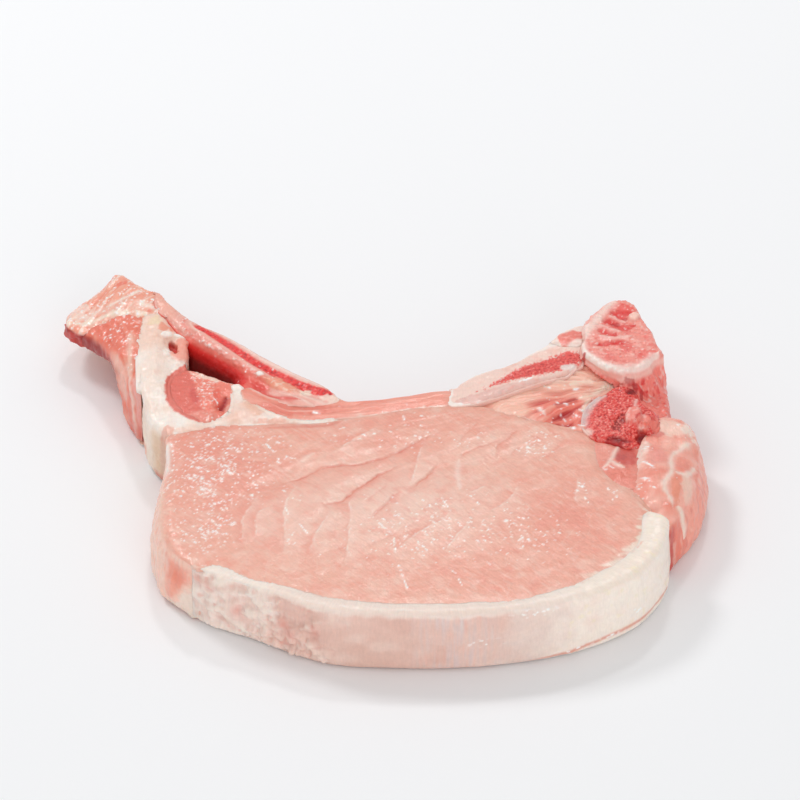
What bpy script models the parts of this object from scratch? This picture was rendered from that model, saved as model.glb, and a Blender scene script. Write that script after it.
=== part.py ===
"""A raw pork chop: a bone-in loin chop lying on its cut face.

The chop is a slab sawn across the loin, so each piece of tissue runs through it from the upper cut to
the lower one. The pieces are the loin eye, the back fat, the muscles beside the spine, the halved
vertebra, the rib where it shows near the spine and again at its far end, and the flap of belly.

All pieces share one plan. A SEAM is a line where two pieces meet, and an EDGE is a stretch of the
chop's free outline. A piece is the loop of seams and edges round it, raised to the height of the
upper cut. Plan sizes are in millimetres from a point near the middle of the loin eye, with the back
fat towards -Y and the belly flap towards -X. The finished chop stands with the centre of its lower
face at the origin.
"""

import math

import bmesh
import bpy
import numpy as np
from mathutils import Vector
from mathutils.geometry import delaunay_2d_cdt

MM = 0.001

# Driving sizes, in millimetres.
THICKNESS = 17.0        # saw cut to saw cut, through the loin eye
GAP = 0.3               # clearance between neighbouring pieces
SEAM_ROUND = 0.7        # how far a piece's upper edge is rounded along a seam
BONE_PROUD = 5.5        # the vertebra stands this far above the shrunken meat
RIB_PROUD = 2.0         # and the rib this far
POCKET_DEPTH = 13.0     # hollow between the far rib and the flap
TIP_DROP = 5.6          # how much lower the flap's tip is than the loin eye
TIP_LIFT = 7.5          # how far the flap's tip curls off the table
FLAP_FALL = 6.0         # how far the flap's dark muscle falls away at its side
FOOT_ROUND = 0.8        # rounding where a free side meets the lower face

# Mesh density, in millimetres.
EDGE_STEP = 3.2
FOLD_STEP = 3.0
FLOOR_STEP = 14.0
CLOSEST = 0.4
WALL_SHARES = (1.0, 0.45, 0.1, 0.0)

# Points where three or more lines of the plan meet.
JOINTS = {
    "eye_ridge": (-53.8, 9.2),
    "tail_tip": (-4.0, 16.3),
    "rib_tip": (15.5, 20.2),
    "eye_arch": (49.3, 9.6),
    "eye_oval": (51.2, 7.6),
    "oval_foot": (59.8, -12.8),
    "eye_knob": (64.0, -20.8),
    "knob": (69.0, -25.2),
    "fat_end": (-47.0, -41.4),
    "lobe_back": (69.6, 18.2),
    "arch_lobe": (66.6, 16.4),
    "oval_head": (63.3, 5.5),
    "arch_head": (57.5, 26.3),
    "rib_socket": (48.8, 34.6),
    "disc_front": (49.3, 41.4),
    "disc_left": (40.2, 42.0),
    "disc_back": (50.4, 50.0),
    "strip_right": (17.0, 26.9),
    "strip_left": (-10.3, 22.3),
    "rib_strip": (-35.5, 28.3),
    "round_right": (-38.5, 30.3),
    "round_left": (-49.2, 36.0),
    "fat_head": (-54.0, 54.5),
    "flap_corner": (-61.0, 55.5),
    "rib_end": (-58.2, 66.0),
    "flap_front": (-76.4, 55.4),
    "ridge_foot": (-60.2, 25.4),
}

# Seam: (joint, points between, joint).
SEAMS = {
    "eye_tail": ("eye_ridge", [(-50.6, 9.2), (-46, 11), (-40, 12.2), (-33, 13.2), (-26, 13), (-18, 12.8),
                               (-11, 14.2)], "tail_tip"),
    "eye_strip": ("tail_tip", [(2, 18.0), (9, 19.6)], "rib_tip"),
    "eye_strands": ("rib_tip", [(22, 19.6), (29, 17.6), (36, 15.0), (42, 12.2)], "eye_arch"),
    "eye_arch": ("eye_arch", [], "eye_oval"),
    "eye_oval": ("eye_oval", [(50.9, 3), (51.7, -2.2), (54, -7.2), (57, -10.8)], "oval_foot"),
    "eye_lobe": ("oval_foot", [(61.4, -16.6)], "eye_knob"),
    "eye_fat": ("eye_knob", [(62.8, -25), (62.8, -30), (60, -36.5), (54.2, -42.8), (45.5, -49.6),
                             (35, -54.2), (19, -56.8), (3, -57.1), (-14, -54.3), (-31, -47.4),
                             (-40, -42.6)], "fat_end"),
    "fat_lobe": ("eye_knob", [(66.8, -22.8)], "knob"),
    "lobe_oval": ("oval_foot", [(61.6, -8), (62, -2)], "oval_head"),
    "lobe_arch": ("oval_head", [(64.6, 9), (66.6, 12)], "arch_lobe"),
    "lobe_bone": ("arch_lobe", [], "lobe_back"),
    "arch_oval": ("oval_head", [(60.5, 4.4), (56, 6.0)], "eye_oval"),
    "arch_strands": ("eye_arch", [(49.1, 13), (49.9, 17.5), (52.6, 22)], "arch_head"),
    "arch_bone": ("arch_head", [(61.4, 23), (63.8, 19.5)], "arch_lobe"),
    "bone_strands": ("arch_head", [(53, 29.8)], "rib_socket"),
    "bone_rib": ("rib_socket", [(48.3, 38)], "disc_front"),
    "bone_disc": ("disc_front", [(49.2, 46)], "disc_back"),
    "rib_disc": ("disc_front", [(44.5, 41.8)], "disc_left"),
    "rib_strands": ("rib_tip", [(21, 20.8), (27, 23.2), (33, 26.0), (39, 28.3), (44.5, 30.6)],
                    "rib_socket"),
    "rib_strip_near": ("rib_tip", [(15.8, 23.5)], "strip_right"),
    "rib_strip_far": ("rib_strip", [(-31.5, 24.6), (-27, 21.9), (-20, 20.4), (-14.5, 20.8)],
                      "strip_left"),
    "fat_strip": ("rib_strip", [(-34.2, 22.6), (-31.4, 18.4), (-26, 15.6), (-19, 14.6), (-11.5, 15.8)],
                  "tail_tip"),
    "fat_rib": ("round_right", [], "rib_strip"),
    "round_rib": ("round_left", [(-46, 34.4), (-42, 32.2)], "round_right"),
    "round_fat": ("round_left", [(-52.8, 32), (-54.4, 27), (-52.6, 20.6), (-48.4, 15.7),
                                 (-43.8, 13.9), (-39.3, 15.2), (-37.2, 19), (-37.3, 25)],
                  "round_right"),
    "ridge_rib": ("round_left", [(-49.2, 42), (-50.2, 48)], "fat_head"),
    "ridge_end": ("fat_head", [(-57.6, 56.4)], "flap_corner"),
    "ridge_flap": ("flap_corner", [(-61.6, 50), (-61.0, 42), (-60.6, 33)], "ridge_foot"),
    "end_flap": ("flap_corner", [(-66, 57.2), (-72, 57.0)], "flap_front"),
    "end_rib": ("fat_head", [(-56.6, 58.6)], "rib_end"),
}

# Edge: (joint, points between, joint, rounding of the upper edge, bulge at mid height, spread at the foot).
EDGES = {
    "eye_side": ("fat_end", [(-50.8, -37.2), (-53.6, -33), (-55.2, -27.5), (-56, -20), (-55.6, -12.5),
                             (-54.4, -5), (-53.6, 2)], "eye_ridge", 4.5, 0.6, 0.6),
    "fat_side": ("fat_end", [(-40, -45.8), (-31.5, -49.8), (-25, -53.6), (-13, -59.2), (3, -60.6),
                              (19, -60.4), (35, -57.9), (46, -54.4), (54.8, -49.8), (62, -43.4),
                              (66.8, -35)], "knob", 1.6, 0.5, 0.6),
    "lobe_side": ("knob", [(70.3, -21.6), (72.4, -18.4), (74.8, -14), (76.7, -8), (77.9, -0.5), (78, 7),
                           (76.8, 13.6), (74, 17.6)], "lobe_back", 4.4, 1.0, 0.2),
    "bone_side": ("lobe_back", [(70, 26.5), (69.2, 33), (67.4, 38.6), (66.2, 43.6), (64.4, 48),
                                (63.2, 52.6), (62, 56.2), (59.8, 57.6), (57, 57.4), (54.6, 56),
                                (52.6, 52.6)], "disc_back", 1.0, 0.2, 1.2),
    "disc_side": ("disc_back", [(47.4, 49.4), (44.8, 47.8), (42.2, 44.6)], "disc_left", 1.2, 0.2, 0.5),
    "rib_side": ("disc_left", [(38.2, 40.6), (35.2, 38.9), (29.8, 35.2), (25.4, 34), (22, 32.4),
                               (18.8, 29.4)], "strip_right", 1.4, 0.3, 0.6),
    "strip_side": ("strip_right", [(11.7, 26), (2.9, 24.3), (-4, 22.7)], "strip_left", 1.6, 0.4, 0.5),
    "far_rib_side": ("strip_left", [(-14, 27.2), (-17.2, 30), (-24.6, 35), (-32.3, 41.2), (-39.9, 47.4),
                                    (-46.4, 51.9), (-51.6, 57), (-54.6, 60.6), (-56, 63.6)], "rib_end",
                     1.3, 0.3, 0.5),
    "end_side": ("rib_end", [(-60.8, 67.4), (-63.1, 70.8), (-65.6, 75.2), (-68, 77.8), (-69.9, 76.6),
                             (-71, 73.2), (-73.2, 71.4), (-76.6, 69.6), (-79.4, 66.2), (-80.9, 61.8),
                             (-79.6, 57.8)], "flap_front",
                 2.6, 0.2, -0.6),
    "flap_side": ("flap_front", [(-72.2, 52), (-69.8, 48), (-67.6, 43.4), (-65.9, 39.6), (-64.7, 36),
                                 (-63.8, 32.6), (-62, 28.6)], "ridge_foot", 1.2, 0.2, 0.2),
    "ridge_side": ("ridge_foot", [(-58.9, 19.5), (-58, 15.4)], "eye_ridge", 1.6, 0.2, 0.2),
}

# Swells and hollows of the upper cut: (centre, reach, height), with a hollow's height below zero.
RELIEF = {
    "eye_muscle": [((0, -18), (45, 28), 0.9), ((-40, -8), (14, 12), 0.5)],
    "fat_cap": [((66, -24), (5, 6), 0.9)],
    "lobe_muscle": [((66.5, -8), (4.5, 9), 1.4), ((74, 10.5), (4, 5), 1.8), ((74.5, -6), (3, 9), 1.2)],
    "oval_muscle": [((56, -6), (5, 6), 0.5), ((60, 4), (3, 3), -0.8)],
    "arch_bone": [((63.5, 15), (2.6, 2.6), 1.6), ((62.3, 7.4), (1.8, 2.2), -3.2),
                  ((57.6, 13.4), (1.8, 2.6), -0.9)],
    "near_rib_bone": [((38.5, 36.6), (7, 3), -0.7)],
    "strand_muscle": [((45, 15), (5, 3.4), -1.8)],
    "strip_muscle": [((-20, 18), (9, 2.2), -0.9)],
    "ridge_fat": [((-57.5, 36), (3.6, 22), 1.8), ((-33, 17), (9, 3), 0.5),
                  ((-53.2, 44), (1.9, 2.8), -2.4)],
    "round_muscle": [((-49.5, 25), (4, 6), 0.6), ((-43, 22), (3.2, 6), 1.1),
                     ((-39.8, 20.5), (1.5, 4), -2.6)],
    "end_muscle": [((-64, 64), (5, 4), 0.6)],
}

# Folds across the face of the loin eye, where its bundles of fibre part.
EYE_FOLDS = [
    [(-24, -8.5), (-14, -4.6), (-4, -1.2), (4, 2.4), (11, 8.6)],
    [(-12, -19), (-6, -11.6), (1, -6), (9, -1)],
    [(3, -19), (8, -11.4), (15, -3.4), (20, 3)],
    [(-34, -17), (-27, -10.6), (-19, -7.6)],
    [(18, -14), (26, -5), (31, 3)],
]
FOLD_DEPTH = 0.6
FOLD_WIDTH = 2.6

# The inner crest of the far rib, from which its face falls into the pocket.
CREST_START = (-50.0, 49.2)
CREST_END = (-22.0, 23.5)
POCKET_REACH = 8.2      # crest to pocket floor, in plan
POCKET_LENGTH = 20.0    # along the crest
MARROW_INSET = 3.0      # the marrow's groove lies this far behind the crest
MARROW_DEPTH = 0.7
TROUGH_DEPTH = 2.2      # a shallow trough carries on beyond the pocket

# The vertebra's proud face ends along this lip; beyond it lies a lower, pitted shelf.
FACE_LIP = [(46, 33.5), (50, 31), (54, 28.4), (59, 27), (64, 28.2), (67, 31), (70, 35)]
SHELF_FALL = 4.0        # how far the shelf falls towards the chop's right side
SHELF_PIT = ((64.6, 23.6), (2.2, 2.6), -2.4)
FACE_PIT = ((58.5, 47.6), (3.6, 2.4), -1.1)

# Muscle strands fan out from this point on the vertebra.
FAN_CENTRE = (58.0, 27.5)
FAN_RIDGE = 0.45
FAN_COUNT = 13          # ridges, if the fan were a full turn


def step_up(value):
    """0 below 0, 1 above 1, and a smooth rise between."""
    value = np.clip(value, 0.0, 1.0)
    return value * value * (3.0 - 2.0 * value)


def curve_through(points, step):
    """A smooth curve through the points, as points about a step apart, with both ends kept."""
    points = np.array(points, float)
    if len(points) > 2:
        before = 2 * points[0] - points[1]
        after = 2 * points[-1] - points[-2]
        knots = np.vstack([before, points, after])
        fine = [catmull_rom(knots[i:i + 4]) for i in range(len(points) - 1)]
        points = np.vstack(fine + [points[-1:]])
    lengths = np.hypot(*np.diff(points, axis=0).T)
    along = np.concatenate([[0], np.cumsum(lengths)])
    count = max(2, round(along[-1] / step) + 1)
    places = np.linspace(0, along[-1], count)
    return np.column_stack([np.interp(places, along, points[:, i]) for i in (0, 1)])


def catmull_rom(four, parts=16):
    """The stretch of a Catmull-Rom curve between the second and third of four points."""
    t = np.linspace(0, 1, parts, endpoint=False)[:, None]
    a, b, c, d = four
    return 0.5 * (2 * b + (c - a) * t + (2 * a - 5 * b + 4 * c - d) * t**2
                  + (3 * b - 3 * c + d - a) * t**3)


def distance_to_line(x, y, line):
    """Distance from each place to a bent line, and the nearest place along it, counted in its points."""
    line = np.array(line, float)
    best = np.full(np.shape(x), np.inf)
    where = np.zeros(np.shape(x))
    for i in range(len(line) - 1):
        run = line[i + 1] - line[i]
        t = ((x - line[i, 0]) * run[0] + (y - line[i, 1]) * run[1]) / max(run @ run, 1e-12)
        t = np.clip(t, 0, 1)
        away = np.hypot(x - line[i, 0] - t * run[0], y - line[i, 1] - t * run[1])
        nearer = away < best
        best = np.where(nearer, away, best)
        where = np.where(nearer, i + t, where)
    return best, where


def swell(x, y, centre, reach, height):
    """A soft round rise."""
    return height * np.exp(-(((x - centre[0]) / reach[0])**2 + ((y - centre[1]) / reach[1])**2))


def relief(name, x, y):
    """The swells and hollows of one piece."""
    return sum((swell(x, y, *spot) for spot in RELIEF.get(name, [])), np.zeros(np.shape(x)))


# Heights of the upper cut, one function for each piece, before its swells and hollows.

def eye_height(x, y):
    """Flat, with folds between the bundles of fibre."""
    z = np.full(np.shape(x), THICKNESS)
    for fold in EYE_FOLDS:
        away, along = distance_to_line(x, y, fold)
        fade = step_up(along) * step_up(len(fold) - 1 - along)
        z = z - FOLD_DEPTH * (0.35 + 0.65 * fade) * np.exp(-(away / FOLD_WIDTH)**2)
    return z


def rim_height(x, y):
    """Fat stands slightly above the lean."""
    return np.full(np.shape(x), THICKNESS + 0.3)


def lobe_height(x, y):
    """Falls away towards the outer side and the front."""
    return THICKNESS - 0.4 - 3.2 * step_up((x - 66) / 13) - 1.6 * step_up((-10 - y) / 14)


def sunken_height(x, y):
    """Small muscles lie a little below their neighbours."""
    return np.full(np.shape(x), THICKNESS - 0.3)


def arch_height(x, y):
    """Spongy bone that rises to the vertebra."""
    return THICKNESS + 0.8 + 1.2 * step_up((y - 19) / 6)


def vertebra_height(x, y):
    """The sawn face stands proud; in front of its lip lies the shelf."""
    away, _ = distance_to_line(x, y, FACE_LIP)
    lip_y = np.interp(x, [p[0] for p in FACE_LIP], [p[1] for p in FACE_LIP])
    behind_lip = np.where(y > lip_y, away, -away)
    shelf = THICKNESS + 0.6 - SHELF_FALL * step_up((x - 61) / 8) + swell(x, y, *SHELF_PIT)
    face = THICKNESS + BONE_PROUD - 0.8 * step_up((y - 44) / 12) + swell(x, y, *FACE_PIT)
    return shelf + (face - shelf) * step_up((behind_lip + 1.6) / 1.8)


def disc_height(x, y):
    """Cartilage between the rib's head and the vertebra."""
    return np.full(np.shape(x), THICKNESS + RIB_PROUD + 1.0)


def near_rib_height(x, y):
    """Proud where it joins the vertebra, level with the meat at its tip."""
    return THICKNESS + 0.2 + (RIB_PROUD + 0.3) * step_up((x - 16) / 28)


def strands_height(x, y):
    """Ridges that fan out from the vertebra, and a rise towards it."""
    angle = np.arctan2(FAN_CENTRE[1] - y, FAN_CENTRE[0] - x)
    return THICKNESS + 0.1 + FAN_RIDGE * np.cos(angle * FAN_COUNT) + 1.4 * step_up((y - 24) / 8)


def far_rib_height(x, y):
    """The rib's sawn edge, and its inner face falling into the pocket."""
    run = np.subtract(CREST_END, CREST_START)
    length = math.hypot(*run)
    ahead = run / length
    across = np.array([ahead[1], -ahead[0]])
    along = (x - CREST_START[0]) * ahead[0] + (y - CREST_START[1]) * ahead[1]
    inward = (x - CREST_START[0]) * across[0] + (y - CREST_START[1]) * across[1]
    beyond = step_up((along - POCKET_LENGTH + 3) / 7)
    crest = THICKNESS + RIB_PROUD - 1.6 * step_up(along / length)
    marrow = MARROW_DEPTH * np.exp(-((inward + MARROW_INSET) / 1.3)**2)
    pocket = POCKET_DEPTH * step_up((inward + 0.6) / POCKET_REACH)**0.85 * (1 - beyond)
    trough = TROUGH_DEPTH * np.exp(-((inward - 3.2) / 2.0)**2) * beyond
    return crest - marrow - pocket - trough * (1 - step_up((along - 30) / 8))


def ridge_height(x, y):
    """White fat, lower where it comes down to the front."""
    return THICKNESS + 0.2 - 0.9 * step_up((24 - y) / 10) * step_up((-52 - x) / 4)


def end_height(x, y):
    """The flap droops towards its tip, most along its front."""
    droop = TIP_DROP * step_up((-62 - x) / 16)
    return THICKNESS + 0.8 - droop - 1.0 * step_up((-64 - x) / 6) * step_up((56 - y) / 8)


def flap_height(x, y):
    """Dark muscle beside the ridge, which falls away as the side of the flap."""
    side = FLAP_FALL * step_up((-60.6 - x) / 4.6) * step_up((42 - y) / 9)
    return end_height(x, y) - side - 1.0 * step_up((34 - y) / 8)


def underside(x, y):
    """Flat on the table, but the flap's tip curls up, most at its front corner."""
    curl = step_up((-63.5 - x) / 4.5) * step_up((y - 33) / 9)
    curl = curl * (1 - 0.5 * step_up((y - 58) / 14))
    return TIP_LIFT * curl + swell(x, y, (-69, 45), (4, 4.5), 3.5) * curl


# Colour and roughness of each tissue.
LEAN = ((0.84, 0.48, 0.42), 0.35)
DARK_LEAN = ((0.76, 0.33, 0.29), 0.35)
FAT = ((0.87, 0.77, 0.70), 0.45)
BONE = ((0.80, 0.36, 0.33), 0.5)
SPONGY_BONE = ((0.60, 0.16, 0.15), 0.5)

# Piece: (the lines round it, height function, grid step, tissue).
PIECES = {
    "eye_muscle": (["eye_tail", "eye_strip", "eye_strands", "eye_arch", "eye_oval", "eye_lobe",
                    "eye_fat", "eye_side"], eye_height, 6.0, LEAN),
    "fat_cap": (["eye_fat", "fat_lobe", "fat_side"], rim_height, 5.0, FAT),
    "lobe_muscle": (["lobe_oval", "eye_lobe", "fat_lobe", "lobe_side", "lobe_bone", "lobe_arch"],
                    lobe_height, 4.0, LEAN),
    "oval_muscle": (["eye_oval", "lobe_oval", "arch_oval"], sunken_height, 4.0, DARK_LEAN),
    "arch_bone": (["eye_arch", "arch_strands", "arch_bone", "lobe_arch", "arch_oval"], arch_height,
                  2.4, SPONGY_BONE),
    "vertebra_bone": (["arch_bone", "bone_strands", "bone_rib", "bone_disc", "bone_side", "lobe_bone"],
                      vertebra_height, 2.6, BONE),
    "disc_cartilage": (["bone_disc", "disc_side", "rib_disc"], disc_height, 3.0, FAT),
    "near_rib_bone": (["rib_strands", "bone_rib", "rib_disc", "rib_side", "rib_strip_near"],
                      near_rib_height, 3.2, BONE),
    "strand_muscle": (["eye_strands", "arch_strands", "bone_strands", "rib_strands"], strands_height,
                      2.8, LEAN),
    "strip_muscle": (["fat_strip", "eye_strip", "rib_strip_near", "strip_side", "rib_strip_far"],
                     rim_height, 3.2, LEAN),
    "far_rib_bone": (["ridge_rib", "round_rib", "fat_rib", "rib_strip_far", "far_rib_side", "end_rib"],
                     far_rib_height, 1.9, BONE),
    "ridge_fat": (["ridge_flap", "ridge_side", "eye_tail", "fat_strip", "fat_rib", "round_fat",
                   "ridge_rib", "ridge_end"], ridge_height, 3.0, FAT),
    "round_muscle": (["round_fat", "round_rib"], sunken_height, 2.6, DARK_LEAN),
    "end_muscle": (["ridge_end", "end_flap", "end_side", "end_rib"], end_height, 3.2, LEAN),
    "flap_muscle": (["end_flap", "flap_side", "ridge_flap"], flap_height, 2.2, DARK_LEAN),
}


def line_samples(name):
    """The points of a seam or an edge, with the rounding, bulge and spread at each."""
    if name in SEAMS:
        start, between, end = SEAMS[name]
        points = curve_through([JOINTS[start], *between, JOINTS[end]], EDGE_STEP)
        shape = np.tile([SEAM_ROUND, 0.0, 0.0], (len(points), 1))
        return points, shape, np.ones(len(points))
    start, between, end, rounding, bulge, spread = EDGES[name]
    points = curve_through([JOINTS[start], *between, JOINTS[end]], EDGE_STEP)
    count = len(points)
    from_end = np.minimum(np.arange(count), count - 1 - np.arange(count)) * EDGE_STEP
    fade = step_up(from_end / 7.0)
    shape = np.column_stack([SEAM_ROUND + (rounding - SEAM_ROUND) * fade, bulge * fade, spread * fade])
    return points, shape, np.where(from_end > 0, 0.0, 1.0)


def ends_of(name):
    line = SEAMS.get(name) or EDGES[name]
    return line[0], line[2]


def piece_outline(names):
    """The closed outline of a piece, counter-clockwise: points, wall shape, and where it is a seam."""
    first = set(ends_of(names[0]))
    here = (first - set(ends_of(names[1]))).pop() if len(names) > 2 else ends_of(names[0])[0]
    points, shape, seam = [], [], []
    for name in names:
        p, s, w = line_samples(name)
        start, end = ends_of(name)
        if here != start:
            p, s, w = p[::-1], s[::-1], w[::-1]
            start, end = end, start
        points.append(p[:-1])
        shape.append(s[:-1])
        seam.append(w[:-1])
        here = end
    points, shape, seam = np.vstack(points), np.vstack(shape), np.concatenate(seam)
    if signed_area(points) < 0:
        points, shape, seam = points[::-1], shape[::-1], seam[::-1]
    return points, shape, seam


def signed_area(points):
    x, y = points.T
    return 0.5 * np.sum(x * np.roll(y, -1) - y * np.roll(x, -1))


def outward(points):
    """The outward direction at each point of a counter-clockwise outline, longer at sharp corners."""
    ahead = np.roll(points, -1, axis=0) - points
    ahead /= np.hypot(*ahead.T)[:, None]
    behind = np.roll(ahead, 1, axis=0)
    normal = np.column_stack([ahead[:, 1] + behind[:, 1], -ahead[:, 0] - behind[:, 0]])
    normal /= np.maximum(np.hypot(*normal.T), 1e-9)[:, None]
    along = normal[:, 0] * ahead[:, 1] - normal[:, 1] * ahead[:, 0]
    return normal / np.clip(along, 0.45, 1.0)[:, None]


def local_room(points, normal):
    """Half the piece's width, measured straight in from each point of its outline."""
    room = np.full(len(points), 50.0)
    following = np.roll(points, -1, axis=0)
    for i, (p, n) in enumerate(zip(points, normal)):
        inward = -n / math.hypot(*n)
        run = following - points
        cross = inward[0] * run[:, 1] - inward[1] * run[:, 0]
        safe = np.where(np.abs(cross) < 1e-9, 1e-9, cross)
        away = points - p
        t = (away[:, 0] * run[:, 1] - away[:, 1] * run[:, 0]) / safe
        u = (away[:, 0] * inward[1] - away[:, 1] * inward[0]) / safe
        hit = (t > 0.05) & (u >= 0) & (u <= 1)
        if hit.any():
            room[i] = 0.5 * t[hit].min()
    return room


def even_out(values):
    """Values round an outline with their rises softened, and none of them raised."""
    lowest = np.minimum(values, np.minimum(np.roll(values, 1), np.roll(values, -1)))
    return (np.roll(lowest, 1) + 2 * lowest + np.roll(lowest, -1)) / 4


def inside(x, y, outline):
    """Whether each place lies within the outline."""
    odd = np.zeros(np.shape(x), bool)
    for a, b in zip(outline, np.roll(outline, -1, axis=0)):
        spans = (a[1] > y) != (b[1] > y)
        with np.errstate(divide="ignore", invalid="ignore"):
            reach = a[0] + (y - a[1]) * (b[0] - a[0]) / (b[1] - a[1])
        odd ^= spans & (x < reach)
    return odd


def grid_points(outline, step, margin):
    """Staggered grid points that lie inside an outline and at least a margin from it."""
    low, high = outline.min(0), outline.max(0)
    rows = []
    for j, y in enumerate(np.arange(low[1] + step / 2, high[1], step * 0.87)):
        shift = step / 2 if j % 2 else 0.0
        xs = np.arange(low[0] + step / 4 + shift, high[0], step)
        rows.append(np.column_stack([xs, np.full(len(xs), y)]))
    points = np.vstack(rows)
    away, _ = distance_to_line(points[:, 0], points[:, 1], closed(outline))
    return points[inside(points[:, 0], points[:, 1], outline) & (away > margin)]


def closed(outline):
    return np.vstack([outline, outline[:1]])


def triangulate(outline, extra):
    """Triangles that fill an outline through its own points and the extra ones."""
    points = np.vstack([outline, extra]) if len(extra) else outline
    count = len(outline)
    loop = [(i, (i + 1) % count) for i in range(count)]
    vectors = [Vector((float(x), float(y))) for x, y in points]
    _, _, faces, origin, _, _ = delaunay_2d_cdt(vectors, loop, [], 0, 1e-5, True)
    corners = np.array([[origin[v][0] for v in face] for face in faces])
    middle = points[corners].mean(axis=1)
    return corners[inside(middle[:, 0], middle[:, 1], outline)]


def edge_drop(x, y, outline, rounding):
    """How far the upper face lies below the cut where it rounds over at the outline."""
    away, where = distance_to_line(x, y, closed(outline))
    radius = np.interp(where, np.arange(len(outline) + 1), np.append(rounding, rounding[0]))
    short = np.clip(radius - away, 0, None)
    return radius - np.sqrt(np.clip(radius**2 - short**2, 0, None))


def upper_points(outline, normal, rounding, step, folds):
    """The points of the upper face inside the outline: two rings for the rounding, folds and a grid."""
    rings = []
    for share in (0.3, 1.0):
        ring = outline - normal * (rounding * share)[:, None]
        away, _ = distance_to_line(ring[:, 0], ring[:, 1], closed(outline))
        keep = inside(ring[:, 0], ring[:, 1], outline) & (away > 0.85 * rounding * share)
        rings.append(ring[keep])
    folds = [curve_through(fold, FOLD_STEP) for fold in folds]
    parts = [*rings, *folds, grid_points(outline, step, 1.6 + 0.35 * step)]
    kept = []
    for group in parts:
        for p in group:
            if all(math.dist(p, q) > CLOSEST for q in kept):
                kept.append(p)
    return np.array(kept)


def wall_rings(outline, normal, shape, upper):
    """The side of a piece as rings of points, from the upper edge down to the foot."""
    top = upper(*outline.T)
    foot = underside(*outline.T)
    bulge, spread = shape[:, 1], shape[:, 2]
    round_foot = FOOT_ROUND * np.clip(np.abs(bulge) * 4, 0, 1)
    rings = []
    for share in WALL_SHARES:
        out = bulge * 4 * share * (1 - share) + spread * (1 - share)
        if share == 0.0:
            out = out - round_foot
        place = outline + normal * out[:, None]
        z = foot + (top - foot) * share
        if share == 0.0:
            z = underside(*place.T)
        rings.append(np.column_stack([place, z]))
    return rings


def make_piece(name):
    """One piece of the chop as a closed mesh, in metres."""
    lines, base_height, step, tissue = PIECES[name]
    outline, shape, seam = piece_outline(lines)
    normal = outward(outline)
    outline = outline - normal * (seam * GAP / 2)[:, None]
    rounding = even_out(np.minimum(shape[:, 0], 0.8 * local_room(outline, normal)))

    def upper(x, y):
        return base_height(x, y) + relief(name, x, y) - edge_drop(x, y, outline, rounding)

    rings = wall_rings(outline, normal, shape, upper)
    mesh = bmesh.new()
    loops = [[mesh.verts.new(Vector(p) * MM) for p in ring] for ring in rings]
    for high, low in zip(loops, loops[1:]):
        for i in range(len(outline)):
            k = (i + 1) % len(outline)
            mesh.faces.new((high[i], low[i], low[k], high[k]))
    folds = EYE_FOLDS if name == "eye_muscle" else []
    fill_cap(mesh, loops[0], outline, upper_points(outline, normal, rounding, step, folds), upper, True)
    sole = rings[-1][:, :2]
    fill_cap(mesh, loops[-1], sole, grid_points(sole, FLOOR_STEP, 2.5), underside, False)
    bmesh.ops.triangulate(mesh, faces=mesh.faces[:])
    data = bpy.data.meshes.new(name)
    mesh.to_mesh(data)
    mesh.free()
    data.shade_smooth()
    data.set_sharp_from_angle(angle=math.radians(50))
    data.materials.append(make_material(name, *tissue))
    piece = bpy.data.objects.new(name, data)
    bpy.context.scene.collection.objects.link(piece)
    return piece


def fill_cap(mesh, rim, outline, extra, height, upward):
    """Closes a piece's upper or lower face with triangles at the height that the function gives."""
    verts = list(rim)
    if len(extra):
        z = height(extra[:, 0], extra[:, 1])
        verts += [mesh.verts.new(Vector((x, y, h)) * MM) for (x, y), h in zip(extra, z)]
    for face in triangulate(outline, extra):
        corners = [verts[i] for i in face]
        a, b, c = (v.co for v in corners)
        faces_up = (b - a).cross(c - a).z > 0
        mesh.faces.new(corners if faces_up == upward else corners[::-1])


def make_material(name, colour, roughness):
    """A plain moist surface in the tissue's colour."""
    material = bpy.data.materials.new(name)
    material.use_nodes = True
    shader = material.node_tree.nodes["Principled BSDF"]
    shader.inputs["Base Color"].default_value = (*colour, 1.0)
    shader.inputs["Roughness"].default_value = roughness
    shader.inputs["Metallic"].default_value = 0.0
    return material


def stand_at_origin(pieces):
    """Moves the chop so that its box is centred over the origin and rests on the ground."""
    corners = np.array([v.co for piece in pieces for v in piece.data.vertices])
    low, high = corners.min(0), corners.max(0)
    shift = Vector((-(low[0] + high[0]) / 2, -(low[1] + high[1]) / 2, -low[2]))
    for piece in pieces:
        for vertex in piece.data.vertices:
            vertex.co += shift


def main():
    for item in list(bpy.data.objects):
        bpy.data.objects.remove(item)
    stand_at_origin([make_piece(name) for name in PIECES])


main()
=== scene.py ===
"""The looks of a raw pork chop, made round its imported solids.

Each piece of tissue gets a fine mesh made from its solid, moved by the relief that real meat has:
bundles of fibre, folds, saw marks, pores, torn fat. The same functions paint it.

Sizes are millimetres in the chop's plan, whose zero lies near the middle of the loin eye: the back fat
is towards -y, the belly flap towards -x, and z is the height above the table.
"""

import itertools
import math

import bmesh
import bpy
import numpy as np
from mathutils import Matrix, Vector
from mathutils.bvhtree import BVHTree
from mathutils.kdtree import KDTree


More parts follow.
